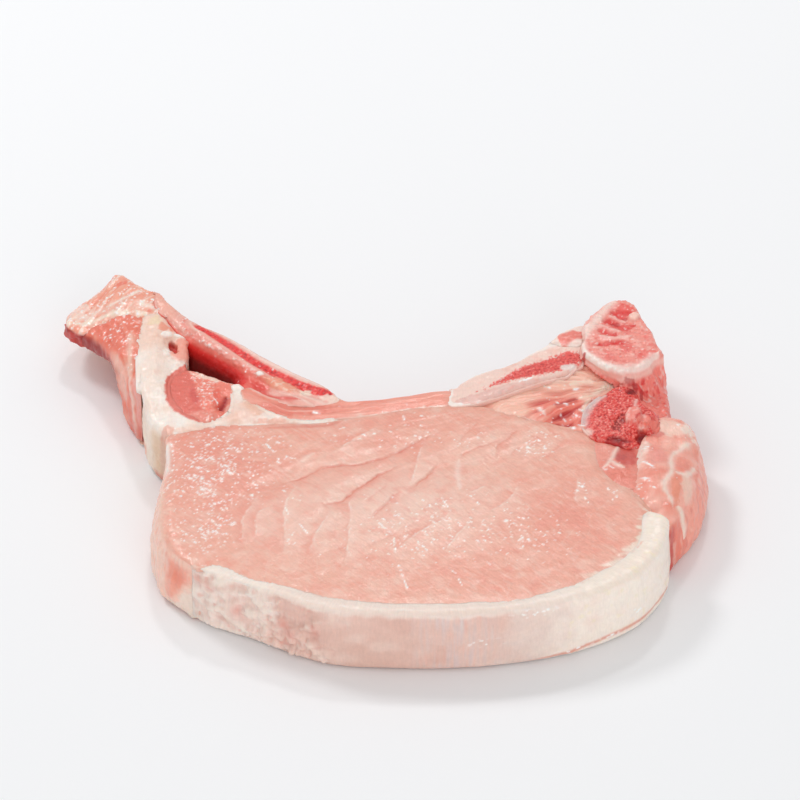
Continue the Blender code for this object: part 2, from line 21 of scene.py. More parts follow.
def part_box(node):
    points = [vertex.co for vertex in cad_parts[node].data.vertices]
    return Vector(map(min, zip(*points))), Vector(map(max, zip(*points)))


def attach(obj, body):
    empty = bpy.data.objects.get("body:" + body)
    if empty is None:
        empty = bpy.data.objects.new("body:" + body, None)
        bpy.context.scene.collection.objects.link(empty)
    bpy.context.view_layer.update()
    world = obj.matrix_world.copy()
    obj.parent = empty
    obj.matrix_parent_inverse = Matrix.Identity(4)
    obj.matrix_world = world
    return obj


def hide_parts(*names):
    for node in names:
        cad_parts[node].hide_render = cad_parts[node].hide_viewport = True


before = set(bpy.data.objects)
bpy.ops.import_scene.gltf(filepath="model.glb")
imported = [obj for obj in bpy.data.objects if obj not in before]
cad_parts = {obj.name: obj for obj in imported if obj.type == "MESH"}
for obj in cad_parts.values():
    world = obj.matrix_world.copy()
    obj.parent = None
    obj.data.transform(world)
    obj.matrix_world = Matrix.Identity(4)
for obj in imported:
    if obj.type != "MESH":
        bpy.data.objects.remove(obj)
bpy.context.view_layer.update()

MM = 0.001
EYE_CORNER = (-56.94, -57.16)       # the plan's place of the loin eye's left front corner
EYE_VOXEL = 0.72                    # mesh size on hidden faces; half of it on the faces that show
VOXEL = 0.56
BONE_VOXEL = 0.44
RIM = 1.7                           # how far from its neighbours the rim of a piece starts
REFLECTED = 0.03                    # light that moisture adds to every colour

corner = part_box("eye_muscle")[0]
PLAN = np.array([corner.x / MM - EYE_CORNER[0], corner.y / MM - EYE_CORNER[1], 0.0])


# ---------------------------------------------------------------- numbers

GRADIENTS = np.random.default_rng(11).normal(size=(256, 3))
GRADIENTS /= np.linalg.norm(GRADIENTS, axis=1)[:, None]


def step_up(value):
    """0 below 0, 1 above 1, and a smooth rise between."""
    value = np.clip(value, 0.0, 1.0)
    return value * value * (3.0 - 2.0 * value)


def ramp(value, start, end):
    """0 at start, 1 at end, and a smooth rise between."""
    return step_up((value - start) / (end - start))


def bell(value, middle, width):
    """1 in the middle, falling off to both sides."""
    return np.exp(-((value - middle) / width)**2)


def hashed(cell, seed):
    """A repeatable number from 0 to 255 for each cell of a grid."""
    number = np.full(len(cell), 7919 * (seed + 1), np.int64)
    for axis in range(cell.shape[1]):
        number = ((number ^ cell[:, axis]) * 668265263) & 0x7FFFFFFF
        number ^= number >> 15
    return number & 255


def noise(points, size, seed=0):
    """Smooth noise from about -1 to 1, with bumps about size across: one size, or one for each axis."""
    points = points / np.asarray(size, float)
    cell = np.floor(points).astype(np.int64)
    t = points - cell
    fade = t**3 * (t * (6 * t - 15) + 10)
    total = np.zeros(len(points))
    for corner_step in itertools.product((0, 1), repeat=points.shape[1]):
        slope = GRADIENTS[hashed(cell + corner_step, seed)][:, :points.shape[1]]
        part = ((t - corner_step) * slope).sum(1)
        for axis, side in enumerate(corner_step):
            part = part * (fade[:, axis] if side else 1 - fade[:, axis])
        total += part
    return 1.8 * total


def layered(points, size, seed=0, layers=3):
    """Noise with finer and weaker noise on top."""
    size = np.asarray(size, float)
    return sum(noise(points, size / 2**i, seed + i) / 2**i for i in range(layers))


def cells(u, v, seed=0):
    """Uneven cells one unit across: distance to the border, the cell's number, offsets from its middle."""
    home = np.column_stack([np.floor(u), np.floor(v)]).astype(np.int64)
    first = np.full(len(u), 9.0)
    second = np.full(len(u), 9.0)
    pick, off_u, off_v = np.zeros((3, len(u)))
    for step in itertools.product((-1, 0, 1), repeat=2):
        cell = home + step
        number = hashed(cell, seed)
        du = u - cell[:, 0] - 0.15 - 0.7 * (number % 16) / 15
        dv = v - cell[:, 1] - 0.15 - 0.7 * (number // 16) / 15
        away = np.hypot(du, dv)
        nearer = away < first
        second = np.where(nearer, first, np.minimum(second, away))
        pick = np.where(nearer, hashed(cell, seed + 1) / 255, pick)
        off_u = np.where(nearer, du, off_u)
        off_v = np.where(nearer, dv, off_v)
        first = np.where(nearer, away, first)
    return second - first, pick, off_u, off_v


def curve_through(points, parts=8):
    """A smooth curve through the points."""
    points = np.array(points, float)
    if len(points) < 3:
        return points
    knots = np.vstack([2 * points[0] - points[1], points, 2 * points[-1] - points[-2]])
    t = np.linspace(0, 1, parts, endpoint=False)[:, None]
    spans = []
    for a, b, c, d in zip(knots, knots[1:], knots[2:], knots[3:]):
        spans.append(0.5 * (2 * b + (c - a) * t + (2 * a - 5 * b + 4 * c - d) * t**2
            + (3 * b - 3 * c + d - a) * t**3))
    return np.vstack(spans + [points[-1:]])


def to_line(x, y, line, reach=60.0):
    """Distance from each place to a line, the side (1 on the left, -1 on the right), the share along it."""
    best = np.full(len(x), 1000.0)
    side = np.ones(len(x))
    share = np.zeros(len(x))
    low, high = line.min(axis=0) - reach, line.max(axis=0) + reach
    close = np.flatnonzero((x > low[0]) & (x < high[0]) & (y > low[1]) & (y < high[1]))
    x, y = x[close], y[close]
    runs = np.diff(line, axis=0)
    lengths = np.hypot(*runs.T)
    starts = np.concatenate([[0], np.cumsum(lengths)])
    nearest = np.full(len(x), np.inf)
    bank = np.zeros(len(x))
    way = np.zeros(len(x))
    for (x0, y0), run, length, start in zip(line, runs, lengths, starts):
        dx, dy = x - x0, y - y0
        t = np.clip((dx * run[0] + dy * run[1]) / length**2, 0, 1)
        away = np.hypot(dx - t * run[0], dy - t * run[1])
        nearer = away < nearest
        nearest = np.where(nearer, away, nearest)
        bank = np.where(nearer, np.sign(run[0] * dy - run[1] * dx), bank)
        way = np.where(nearer, (start + t * length) / starts[-1], way)
    best[close] = nearest
    side[close] = bank
    share[close] = way
    return best, side, share


def tone(red, green, blue):
    """Screen values from 0 to 255 as linear light, less the light that moisture reflects."""
    c = np.array([red, green, blue]) / 255
    linear = np.where(c <= 0.04045, c / 12.92, ((c + 0.055) / 1.055)**2.4)
    return np.maximum(linear - REFLECTED, 0.001)


# ---------------------------------------------------------------- colours

# Red, green and blue as screen values.
PALE = (245, 209, 194)
LEAN = (240, 182, 163)
ROSY = (236, 152, 134)
DEEP = (224, 124, 106)
SALMON = (238, 128, 106)
RED = (216, 84, 78)
CREAM = (246, 232, 220)
WHITE = (250, 242, 235)
# Near-white for painted highlights where moisture glints.
PAINTED_GLINT = (255, 252, 250)
BLUE_GREY = (222, 202, 200)
# Pale paint for rims beside gaps between pieces: painted light that cancels the gaps' shade.
GAP_FILL_LIGHT = (247, 222, 208)


# ---------------------------------------------------------------- fine meshes

def add_object(name, data, place=(0, 0, 0)):
    made = bpy.data.objects.new(name, data)
    made.location = place
    bpy.context.scene.collection.objects.link(made)
    return made


def read(items, name, width=3):
    """One property of all items of a mesh, as rows of numbers."""
    values = np.zeros(len(items) * width, np.float32)
    items.foreach_get(name, values)
    return values.reshape(-1, width).astype(float)


def plan_points(data):
    """A mesh's points in plan millimetres."""
    return read(data.vertices, "co") / MM - PLAN


def solid_tree(node):
    """The solid of a node, ready to be asked for its nearest point."""
    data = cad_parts[node].data
    faces = [tuple(face.vertices) for face in data.polygons]
    return BVHTree.FromPolygons([Vector(p) for p in plan_points(data)], faces)


TREES = {node: solid_tree(node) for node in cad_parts}


def nearest_on(points, nodes, limit=8.0):
    """Distance from each point to the nearest of the solids, up to a limit, and the way to it."""
    away = np.full(len(points), limit, float)
    way = np.zeros_like(points)
    for node in nodes:
        tree = TREES[node]
        low, high = (np.array(c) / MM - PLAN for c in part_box(node))
        close = np.all((points > low - limit) & (points < high + limit), axis=1)
        for i in np.flatnonzero(close):
            hit = tree.find_nearest(points[i], away[i])
            if hit[0] is not None:
                away[i] = hit[3]
                way[i] = hit[0] - Vector(points[i])
    return away, way


def distance_to(points, nodes, limit=8.0):
    return nearest_on(points, nodes, limit)[0]


def even_mesh(node, voxel):
    """A closed mesh of even squares in the shape of a node's solid, in plan millimetres."""
    mesh = bmesh.new()
    mesh.from_mesh(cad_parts[node].data)
    bmesh.ops.remove_doubles(mesh, verts=mesh.verts[:], dist=0.001 * MM)
    data = bpy.data.meshes.new(node)
    mesh.to_mesh(data)
    mesh.free()
    data.vertices.foreach_set("co", plan_points(data).ravel())
    piece = add_object(node + "_even", data)
    remesh = piece.modifiers.new("Remesh", "REMESH")
    remesh.mode = "VOXEL"
    remesh.voxel_size = voxel
    even = bpy.data.meshes.new_from_object(piece.evaluated_get(bpy.context.evaluated_depsgraph_get()))
    bpy.data.objects.remove(piece)
    return even


def smooth(data, rounds):
    """Draws every point towards the middle of its neighbours."""
    points = read(data.vertices, "co")
    edges = np.zeros(len(data.edges) * 2, np.int32)
    data.edges.foreach_get("vertices", edges)
    edges = edges.reshape(-1, 2)
    count = np.bincount(edges.ravel(), minlength=len(points))[:, None]
    for _ in range(rounds):
        total = np.empty_like(points)
        for axis in range(3):
            total[:, axis] = (np.bincount(edges[:, 0], points[edges[:, 1], axis], len(points))
                + np.bincount(edges[:, 1], points[edges[:, 0], axis], len(points)))
        points += 0.5 * (total / count - points)
    data.vertices.foreach_set("co", points.ravel())
    data.update()


def refine_shown(data, others):
    """Splits the squares of the faces that show: not the lower cut, and not the walls against neighbours."""
    middles = read(data.polygons, "center")
    up = read(data.polygons, "normal")[:, 2]
    hidden = up < -0.5
    side = np.flatnonzero((up < 0.5) & ~hidden)
    hidden[side] |= distance_to(middles[side], others, 1.5) < 0.75
    mesh = bmesh.new()
    mesh.from_mesh(data)
    edges = {edge for face, off in zip(mesh.faces, hidden) if not off for edge in face.edges}
    edges = sorted(edges, key=lambda edge: edge.index)
    bmesh.ops.subdivide_edges(mesh, edges=edges, cuts=1, use_grid_fill=True)
    mesh.to_mesh(data)
    mesh.free()


class Skin:
    """The surface of one piece: its points in plan millimetres, their relief and what is painted on them."""

    def __init__(self, node, voxel):
        self.node = node
        self.others = [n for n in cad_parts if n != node]
        self.data = even_mesh(node, voxel)
        smooth(self.data, 5)
        refine_shown(self.data, self.others)
        smooth(self.data, 4)
        self.points = read(self.data.vertices, "co")
        self.normal = read(self.data.vertex_normals, "vector")
        self.x, self.y, self.z = self.points.T.copy()
        self.top = step_up((self.normal[:, 2] - 0.3) / 0.45)
        self.side = 1 - self.top - step_up((-self.normal[:, 2] - 0.4) / 0.3)
        self.rise = np.zeros(len(self.points))
        self.colour = np.tile(tone(*LEAN), (len(self.points), 1))
        self.beads = np.zeros(len(self.points))
        self.grain = self.points.copy()
        self.gap, self.toward = nearest_on(self.points, self.others, 3.0)
        # How much pale paint each point takes where it borders a gap: painted light that cancels the gap's
        # shade.
        self.seam = np.full(len(self.points), 0.7)

    def noise(self, size, seed=0, layers=1):
        return layered(self.points, size, seed, layers)

    def near(self, *nodes, limit=8.0):
        return distance_to(self.points, nodes, limit)

    def base(self, colour):
        self.colour[:] = tone(*colour)

    def paint(self, colour, amount):
        """Lays a colour over what is there. The amount is from 0 to 1, one for all points or each its own."""
        amount = np.clip(amount, 0, 1)
        amount = amount[:, None] if np.ndim(amount) else amount
        self.colour += (tone(*colour) - self.colour) * amount

    def patch(self, colour, amount, centre, reach):
        """Paints a wide soft patch."""
        u, v = (self.x - centre[0]) / reach[0], (self.y - centre[1]) / reach[1]
        self.paint(colour, amount * np.exp(-u * u - v * v))

    def spot(self, centre, reach, ragged=0.35, turn=0.0):
        """A mask of a round patch with an uneven border."""
        c, s = math.cos(math.radians(turn)), math.sin(math.radians(turn))
        dx, dy = self.x - centre[0], self.y - centre[1]
        u, v = (dx * c + dy * s) / reach[0], (dy * c - dx * s) / reach[1]
        away = np.hypot(u, v) + ragged * self.noise(0.45 * min(reach) + 0.8, 90, 2)
        return ramp(away, 1.25, 0.75)

    def stripe(self, line, width, ragged=0.3, ends=0.15):
        """A mask along a curve that thins out at its ends."""
        wobble = ragged * width * self.noise(1.5 + width, 70, 2)
        away, _, share = to_line(self.x, self.y, curve_through(line, 5), 4 * width + 2)
        reach = np.maximum(width * step_up(share / ends) * step_up((1 - share) / ends), 0.05)
        return np.exp(-((away + wobble) / reach)**2)

    def fleck(self, colour, amount, field, gain, offset=0.0):
        """Paints where a field of noise is high, or low with a gain below 0."""
        self.paint(colour, amount * step_up(gain * field + offset))

    def bumps(self, mask, *kinds):
        """Raises the surface by noise; each kind is a height and what noise takes."""
        for height, *kind in kinds:
            self.rise += mask * height * self.noise(*kind)

    def dab(self, colour, amount, centre, reach, ragged=0.35, turn=0.0, height=0.0):
        """Paints a round patch, and raises it."""
        mask = self.spot(centre, reach, ragged, turn)
        self.paint(colour, amount * mask)
        self.rise += height * mask

    def draw(self, colour, amount, line, width, ragged=0.3, ends=0.15, height=0.0):
        """Paints along a curve, and raises it."""
        mask = self.stripe(line, width, ragged, ends)
        self.paint(colour, amount * mask)
        self.rise += height * mask

    def meets(self, node, colour, reach, ragged, amount=1.0):
        """Paints a ragged border of the neighbour's colour along a seam."""
        away = self.near(node, limit=reach + 2 * ragged + 1)
        border = reach + ragged * self.noise(1.8, 18, 2)
        self.paint(colour, amount * step_up((border - away) / 0.5) * self.top)

    def crease(self, line, depth, width=0.35):
        """A fold along a curve: a narrow groove, a bank that bulges above it and a slope below it. The bank
        is painted lighter as painted highlight, the slope and the groove darker as painted shade.
        """
        wobble = 0.45 * self.noise(3.0, 71) + 0.25 * self.noise(1.1, 72)
        away, side, share = to_line(self.x, self.y, curve_through(line, 5), 9.0)
        away = away * side + wobble
        fade = ramp(share, 0, 0.25) * ramp(share, 1, 0.75) * self.top
        groove = fade * np.exp(-(away / width)**2)
        above = fade * np.where(away > 0, np.exp(-np.abs(away) / 2.6), 0)
        below = fade * np.where(away > 0, 0, np.exp(-np.abs(away) / 2.2))
        self.rise += depth * (0.26 * above * np.tanh(np.abs(away) / 0.5) - 0.16 * below - 0.40 * groove)
        strength = min(1.0, 2.6 * depth) * (0.8 + 0.5 * self.noise(4, 77))
        self.paint(PALE, 0.45 * strength * above)
        self.paint(ROSY, 0.80 * strength * below)
        self.paint(DEEP, 0.75 * strength * groove)

    def bundle(self, line, depth=0.07):
        """The edge of a bundle of fibre: the right of the curve lies over the left like a shingle. The raised
        right side is painted lighter as painted highlight, the lower left side darker as painted shade, and
        beads of painted highlight line the edge.
        """
        away, side, share = to_line(self.x, self.y, curve_through(line, 5), 9.0)
        away = away * side + 0.35 * self.noise(3.0, 73)
        fade = ramp(share, 0, 0.3) * ramp(share, 1, 0.7) * self.top
        right = fade * np.exp(-np.maximum(-away, 0) / 3.0) * ramp(away, 0.25, -0.25)
        left = fade * np.exp(-np.maximum(away, 0) / 1.6) * step_up((0.25 + away) / 0.5)
        self.rise += depth * (right - 0.5 * left)
        self.paint(PALE, 0.5 * right)
        self.paint(ROSY, 0.35 * left)
        glint_beads = step_up(0.5 + 1.4 * self.noise(1.3, 78))
        self.paint(WHITE, 0.45 * glint_beads * fade * bell(away, -0.1, 0.24))

    def glints(self, field, seed=40, size=0.9, height=0.10):
        """Wet beads and short ridges that run down to the right, crowded where the field is high; their
        crests are painted near-white as painted highlights.
        """
        wave = 0.3 * self.noise(2.5, seed)
        u = (0.74 * self.x + 0.67 * self.y) / size + wave
        v = (0.67 * self.x - 0.74 * self.y) / (1.5 * size) + wave
        _, pick, off_u, off_v = cells(u, v, seed)
        bulk = (7.31 * pick) % 1
        crowd = field * step_up(0.62 + 0.9 * self.noise(3.2, seed + 2, 2))
        kept = step_up((crowd - pick) / 0.06) * self.top
        ridge = kept * np.exp(-(off_u * size / (0.16 + 0.12 * bulk))**2
            - (off_v * 1.5 * size / (0.18 + 0.60 * bulk**3))**2)
        self.rise += height * ridge * (0.4 + bulk)
        self.paint(PAINTED_GLINT, (0.8 + 0.6 * bulk) * (ridge - 0.15))

    def dashes(self, pairs, width=0.2, height=0.10):
        """Single wet ridges from point to point, broken into beads and painted near-white as painted
        highlights.
        """
        for pair in pairs:
            away, _, _ = to_line(self.x, self.y, np.array(pair, float), 2.0)
            ridge = np.exp(-((away + 0.15 * self.noise(0.8, 75)) / width)**2) * self.top
            ridge *= step_up(0.7 + 2.0 * self.noise(1.1, 76))
            self.rise += height * ridge
            self.paint(PAINTED_GLINT, 1.1 * ridge)

    def close_seams(self):
        """Rims that meet a neighbour are filled up to the face beside them, and walls reach over the gap."""
        level = np.flatnonzero((self.gap > RIM) & (self.normal[:, 2] > -0.3))
        rim = np.flatnonzero((self.gap < RIM) & (self.normal[:, 2] > -0.3) & (self.toward[:, 2] > -0.6))
        outward = np.tile((0.0, 0.0, 1.0), (len(self.points), 1))
        if len(level):
            tree = KDTree(len(level))
            for i, index in enumerate(level):
                tree.insert(self.points[index], i)
            tree.balance()
            for index in rim:
                found = tree.find_n(self.points[index], 6)
                if found[0][2] > 3.5:
                    continue
                beside = level[[i for _, i, _ in found]]
                way = self.normal[beside].mean(axis=0)
                way /= np.linalg.norm(way)
                lift = (self.points[beside].mean(axis=0) - self.points[index]) @ way
                share = step_up((RIM - self.gap[index]) / 0.7)
                share *= ramp(self.normal[index] @ way, 0.03, 0.23)
                share *= ramp(self.toward[index, 2], -0.6, -0.2)
                self.points[index] += way * min(max(lift, 0.0), 1.4) * share
                outward[index] = way
        flat_way = self.toward * (1, 1, 0)
        length = np.linalg.norm(flat_way, axis=1)
        flat_way -= outward * (flat_way * outward).sum(1)[:, None] * (1, 1, 0)
        reach = 1.1 * np.clip((RIM - self.gap) / 1.4, 0, 1)
        self.points += flat_way * (reach / np.maximum(length, 0.05))[:, None]
        past_middle = np.maximum(reach - 0.5 * length, 0)
        sink = past_middle * step_up(((self.normal * outward).sum(1) - 0.1) / 0.3)
        self.points -= outward * ((0.25 + 0.3 * (1 - np.abs(outward[:, 2]))) * sink)[:, None]

    def finish(self, material):
        """Makes the piece from the skin and puts it in the place of its node."""
        self.rise *= ramp(self.gap, 0.3, 1.2)
        self.points += self.normal * self.rise[:, None]
        self.points[:, 2] = np.maximum(self.points[:, 2], 0.0)
        self.data.vertices.foreach_set("co", ((self.points + PLAN) * MM).ravel())
        rgba = np.column_stack([np.clip(self.colour, 0, 1), np.ones(len(self.points))])
        paint = self.data.color_attributes.new("paint", "FLOAT_COLOR", "POINT")
        paint.data.foreach_set("color", rgba.ravel())
        beads = self.data.attributes.new("beads", "FLOAT", "POINT")
        beads.data.foreach_set("value", self.beads)
        grain = self.data.attributes.new("grain", "FLOAT_VECTOR", "POINT")
        grain.data.foreach_set("vector", self.grain.ravel())
        self.data.shade_smooth()
        self.data.update()
        self.data.materials.clear()
        self.data.materials.append(material)
        piece = add_object(self.node + "_meat", self.data)
        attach(piece, "root")
        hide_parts(self.node)


# ---------------------------------------------------------------- the loin eye

# Folds, from left to right: (curve, depth).
EYE_CREASES = [
    ([(-30, -13.1), (-20.4, -9.3), (-15, -4.7), (-6.6, -3.4), (-0.7, -0.9), (5.7, 3.6), (11.4, 8.5),
      (17, 12.5)], 0.36),
    ([(-18, -19.2), (-11.6, -18.6), (-5.8, -12.3), (-1.1, -7.2), (5, -3)], 0.36),
    ([(-3.6, -25.7), (0, -19.4), (4.3, -13.3)], 0.26),
    ([(5, -13.7), (9, -9.7), (13.3, -3.1)], 0.28),
    ([(-4.9, -19.4), (-0.7, -13.1), (1, -10.6)], 0.14),
    ([(18, -1.9), (19.4, 1.2), (26.5, 5.5), (30, 8.3)], 0.2),
    ([(18, 4.5), (19.9, 9.2), (23.7, 14)], 0.15),
    ([(27.4, -1.7), (27.9, 3.6), (32.7, 11.1)], 0.2),
    ([(30.5, -0.2), (33.1, 4.5)], 0.16),
    ([(39.3, -0.2), (43.5, 5)], 0.18),
    ([(-39, -0.5), (-31, -3), (-27.6, -3)], 0.14),
    ([(-6, -36), (1.5, -31), (9, -25), (12, -22)], 0.12),
]

# Where one bundle of fibre lies over the next; each curve runs away from the back fat.
EYE_BUNDLES = [
    [(-33.4, -36.2), (-34.5, -27.4), (-33.9, -23.2), (-30, -14)],
    [(-30.9, -34.1), (-30.9, -23.2), (-26.7, -20.2)],
    [(-24, -39.6), (-24.2, -19.8), (-20.8, -10.6)],
    [(-18.9, -40), (-16.2, -29.5), (-12.5, -20.2)],
    [(-12, -46), (-9.5, -40), (-8.5, -24), (-8.3, -17.7), (-4.1, -10.6)],
    [(5.2, -13.7), (6.6, -8.3), (9, 4.5), (10.2, 6.9)],
    [(19.9, -14.9), (25.1, -11.6)],
    [(1.4, -39), (7.1, -31), (14.2, -24.8), (16.6, -20.1)],
    [(13.7, -38.5), (17.5, -30.5), (20.8, -25.8)],
    [(24.6, -22.7), (29.3, -18.2), (32.7, -11.1)],
    [(46.6, -19.2), (45.9, -15.4), (46.9, -7.8)],
    [(-14, 0), (-8, 6), (-1, 12)],
]

# Wide soft patches of colour: (colour, amount, centre, reach).
EYE_PATCHES = [
    (PALE, 0.95, (2, -20), (24, 15)),
    (PALE, 0.65, (-23, -28), (8, 10)),
    (PALE, 0.45, (28, 3), (12, 6)),
    (ROSY, 0.3, (-8, 5), (12, 7)),
    (PALE, 0.3, (-8, 12), (12, 4)),
    (ROSY, 0.8, (-43, 3), (11, 12)),
    (ROSY, 0.45, (-37, -17), (12, 14)),
    (ROSY, 0.5, (0, 4), (11, 4)),
    (ROSY, 0.75, (44, -24), (13, 15)),
    (ROSY, 0.35, (26, -47), (26, 7)),
    (ROSY, 0.6, (51, 10), (4, 5)),
    (ROSY, 0.4, (-27, -7), (6, 7)),
    (ROSY, 0.35, (-43, -8), (13, 20)),
    (ROSY, 0.45, (4, 14), (20, 7)),
]

# Where moisture glints crowd, painted as highlights: (amount, centre, reach).
EYE_GLINT_CROWDS = [
    (1, (-42, -6), (11, 15)), (0.8, (-43, -27), (7, 9)), (1, (37, 5), (3.8, 5)),
    (0.45, (47.5, -13), (1.5, 4)), (0.6, (55, -14), (2.2, 3)), (0.6, (-22.5, -15.5), (2.4, 4)),
    (0.6, (-31, -13), (3, 4)), (0.55, (7, 16.5), (3, 2)), (0.4, (-23, -31), (1.5, 7)),
    (0.6, (-31, 2), (8, 7)), (0.35, (10, -28), (20, 14)), (0.4, (30, -30), (14, 10)),
    (0.35, (5, 8), (20, 6)),
]

# Short ridges painted near-white as highlights of moisture: (start, end).
EYE_GLINT_DASHES = [
    ((-41.9, -25.1), (-40.3, -27.5)), ((-43.7, -36.4), (-42.4, -37.3)), ((-20.7, -26.9), (-18.6, -30.6)),
    ((-24.3, -20.2), (-23.4, -23.3)), ((13.8, -17.3), (15.3, -21.2)), ((20.7, -16.2), (23.2, -20.5)),
    ((7.5, -33.3), (11.3, -38.5)), ((-1.4, -26.9), (2.2, -31.5)), ((2.2, -32.6), (2.4, -37.5)),
    ((3.3, -42.4), (5.3, -50.7)), ((15.4, -43.4), (17, -45.5)), ((17, -45.5), (18.3, -49.7)),
    ((32.8, -31.2), (33.1, -35.4)), ((24.3, -41), (25.6, -42.4)), ((-29.6, 5), (-27, 0.8)),
    ((-24.2, -0.6), (-22.5, -1.5)), ((4.4, 15.7), (4.9, 12)), ((-15.5, -38.6), (-14.9, -39.6)),
    ((47, -10.5), (48, -12.8)), ((48.4, -16.4), (49.1, -18.4)), ((53.8, -12.6), (54.6, -14.4)),
]


def seam_lines(skin):
    """Lines that run on across neighbouring pieces, between the eye and what lies behind it."""
    skin.draw(DEEP, 0.6 * skin.top, [(-30, 10.8), (-21.3, 11.5), (-15, 11.7), (-10.3, 13.6)], 0.7)
    skin.draw(CREAM, 0.8 * skin.top, [(-26, 14.9), (-19.2, 13.6), (-15, 13.8), (-7.4, 15.9), (-2.8, 17.1)],
        0.8)


def dress_eye(skin):
    """Pale muscle cut across: leaning bundles like shingles, folds, and a grainy left end."""
    x, y, top = skin.x, skin.y, skin.top
    for patch in EYE_PATCHES:
        skin.patch(*patch)
    leaning = 1.43 * y + 0.023 * y**2 + 0.000103 * y**3
    across = x - leaning + 2.6 * skin.noise(11, 1, 2)
    along = 1.2 * y + 2.4 * skin.noise(9, 3, 2)
    grainy = ramp(x, -30, -44)
    plates = top * (1 - 0.8 * grainy)
    small, pick, bit, _ = cells(across / 5.5, along / 11, 8)
    skin.rise += plates * 0.1 * bit * ramp(small, 0, 0.35)
    skin.paint(PALE, plates * 0.3 * ramp(small, 0.12, 0) * step_up(0.5 - bit))
    skin.paint(ROSY, plates * 0.22 * (pick - 0.3))
    skin.rise += top * (0.05 * skin.noise(2.8, 12, 2) + 0.07 * grainy * skin.noise(1.3, 15))
    down = np.column_stack([0.74 * x + 0.67 * y + 0.5 * skin.noise(5, 16), 0.67 * x - 0.74 * y])
    cut = noise(down, (0.65, 3.6), 17) + 0.5 * noise(down, (1.7, 8), 18)
    skin.rise += top * 0.025 * cut
    broken = 0.7 + 0.8 * skin.noise(6, 14)
    skin.fleck(PALE, 0.46 * broken * top, cut, 1.3, -0.1)
    skin.fleck(ROSY, 0.4 * broken * top, cut, -1.3, -0.1)
    mottle = skin.noise((4.5, 3.5, 4), 31, 2)
    skin.fleck(ROSY, 0.4 * top, mottle, 1.2, -0.1)
    skin.fleck(PALE, 0.35 * top, mottle, -1.2, -0.1)
    for line in EYE_BUNDLES:
        skin.bundle(line)
    for line, depth in EYE_CREASES:
        skin.crease(line, depth)
    seam_lines(skin)

    field = np.full(len(x), 0.035)
    for amount, centre, reach in EYE_GLINT_CROWDS:
        glint_mask = bell(x, centre[0], reach[0]) * bell(y, centre[1], reach[1])
        field = np.maximum(field, amount * glint_mask)
    skin.glints(field, 40, 0.95)
    skin.glints(field, 43, 0.7, 0.07)
    skin.beads = 0.5 * field * top
    skin.dashes(EYE_GLINT_DASHES)
    skin.draw(WHITE, 0.35, [(18, -1), (17.6, -7), (18.2, -14)], 0.7)
    skin.draw(PALE, 0.9, [(-20.5, -3), (-18.6, -0.6), (-17, 0.8)], 0.8)
    skin.grain = np.column_stack([0.74 * x + 0.67 * y, 0.67 * x - 0.74 * y, skin.z])

    wall = skin.side * ramp(x, -44, -47)
    threads = skin.noise((1.1, 1.1, 8), 40, 2)
    skin.rise += wall * (0.35 * skin.noise((3, 3, 7), 42, 2) + 0.12 * threads)
    skin.paint((250, 206, 188), wall)
    skin.fleck(PALE, 0.7 * wall, threads, 1.2)
    skin.fleck((240, 160, 140), 0.5 * wall, threads, -1.3, -0.1)
    border = -46.6 - 0.5 * np.maximum(11.5 - skin.z, 0) + 0.5 * skin.noise(1.5, 41, 2)
    flat = wall * step_up((border - x) / 1.4) * ramp(skin.z, 2.4, 3.8) * ramp(skin.z, 15.6, 13.1)
    skin.paint((248, 174, 154), flat * ramp(x + 0.8 * skin.noise(2, 43), -53.6, -51.6))
    skin.paint((240, 142, 118), 0.8 * flat * np.exp(-((x + 49.8) / 1.8)**2 - ((skin.z - 10.5) / 3)**2))
    skin.paint((243, 222, 208), wall * step_up((x - border) / 1.2))
    skin.paint((243, 222, 208), wall * ramp(x, -53, -51.5) * ramp(skin.z, 2.8, 2))
    skin.paint((243, 212, 194), 0.8 * top * bell(x, -55.2, 1.6) * ramp(y, -4, -10))
    # A white streak along the rounded top of the left wall: pale rim tissue with a painted highlight on it.
    skin.paint(WHITE, 0.95 * bell(x, -53.4, 1) * ramp(y, -8, -3) * ramp(y, 6.5, 5) * ramp(skin.z, 13, 16))
    skin.draw(SALMON, 0.35 * top, [(-51, 5.5), (-47, 9.2), (-40, 10.6), (-33, 11.2)], 0.9)
    skin.meets("fat_cap", WHITE, 0.4, 0.6, 0.85)
    far = skin.near("fat_cap", limit=7)
    patchy = ramp(far - 2.6 * skin.noise((4, 2, 2), 45, 2), 2.2, 0.2) * ramp(x, 44, 52)
    skin.paint((247, 226, 211), 0.9 * patchy * top)
    skin.meets("lobe_muscle", WHITE, 0.3, 0.3, 0.8)


# ---------------------------------------------------------------- fat

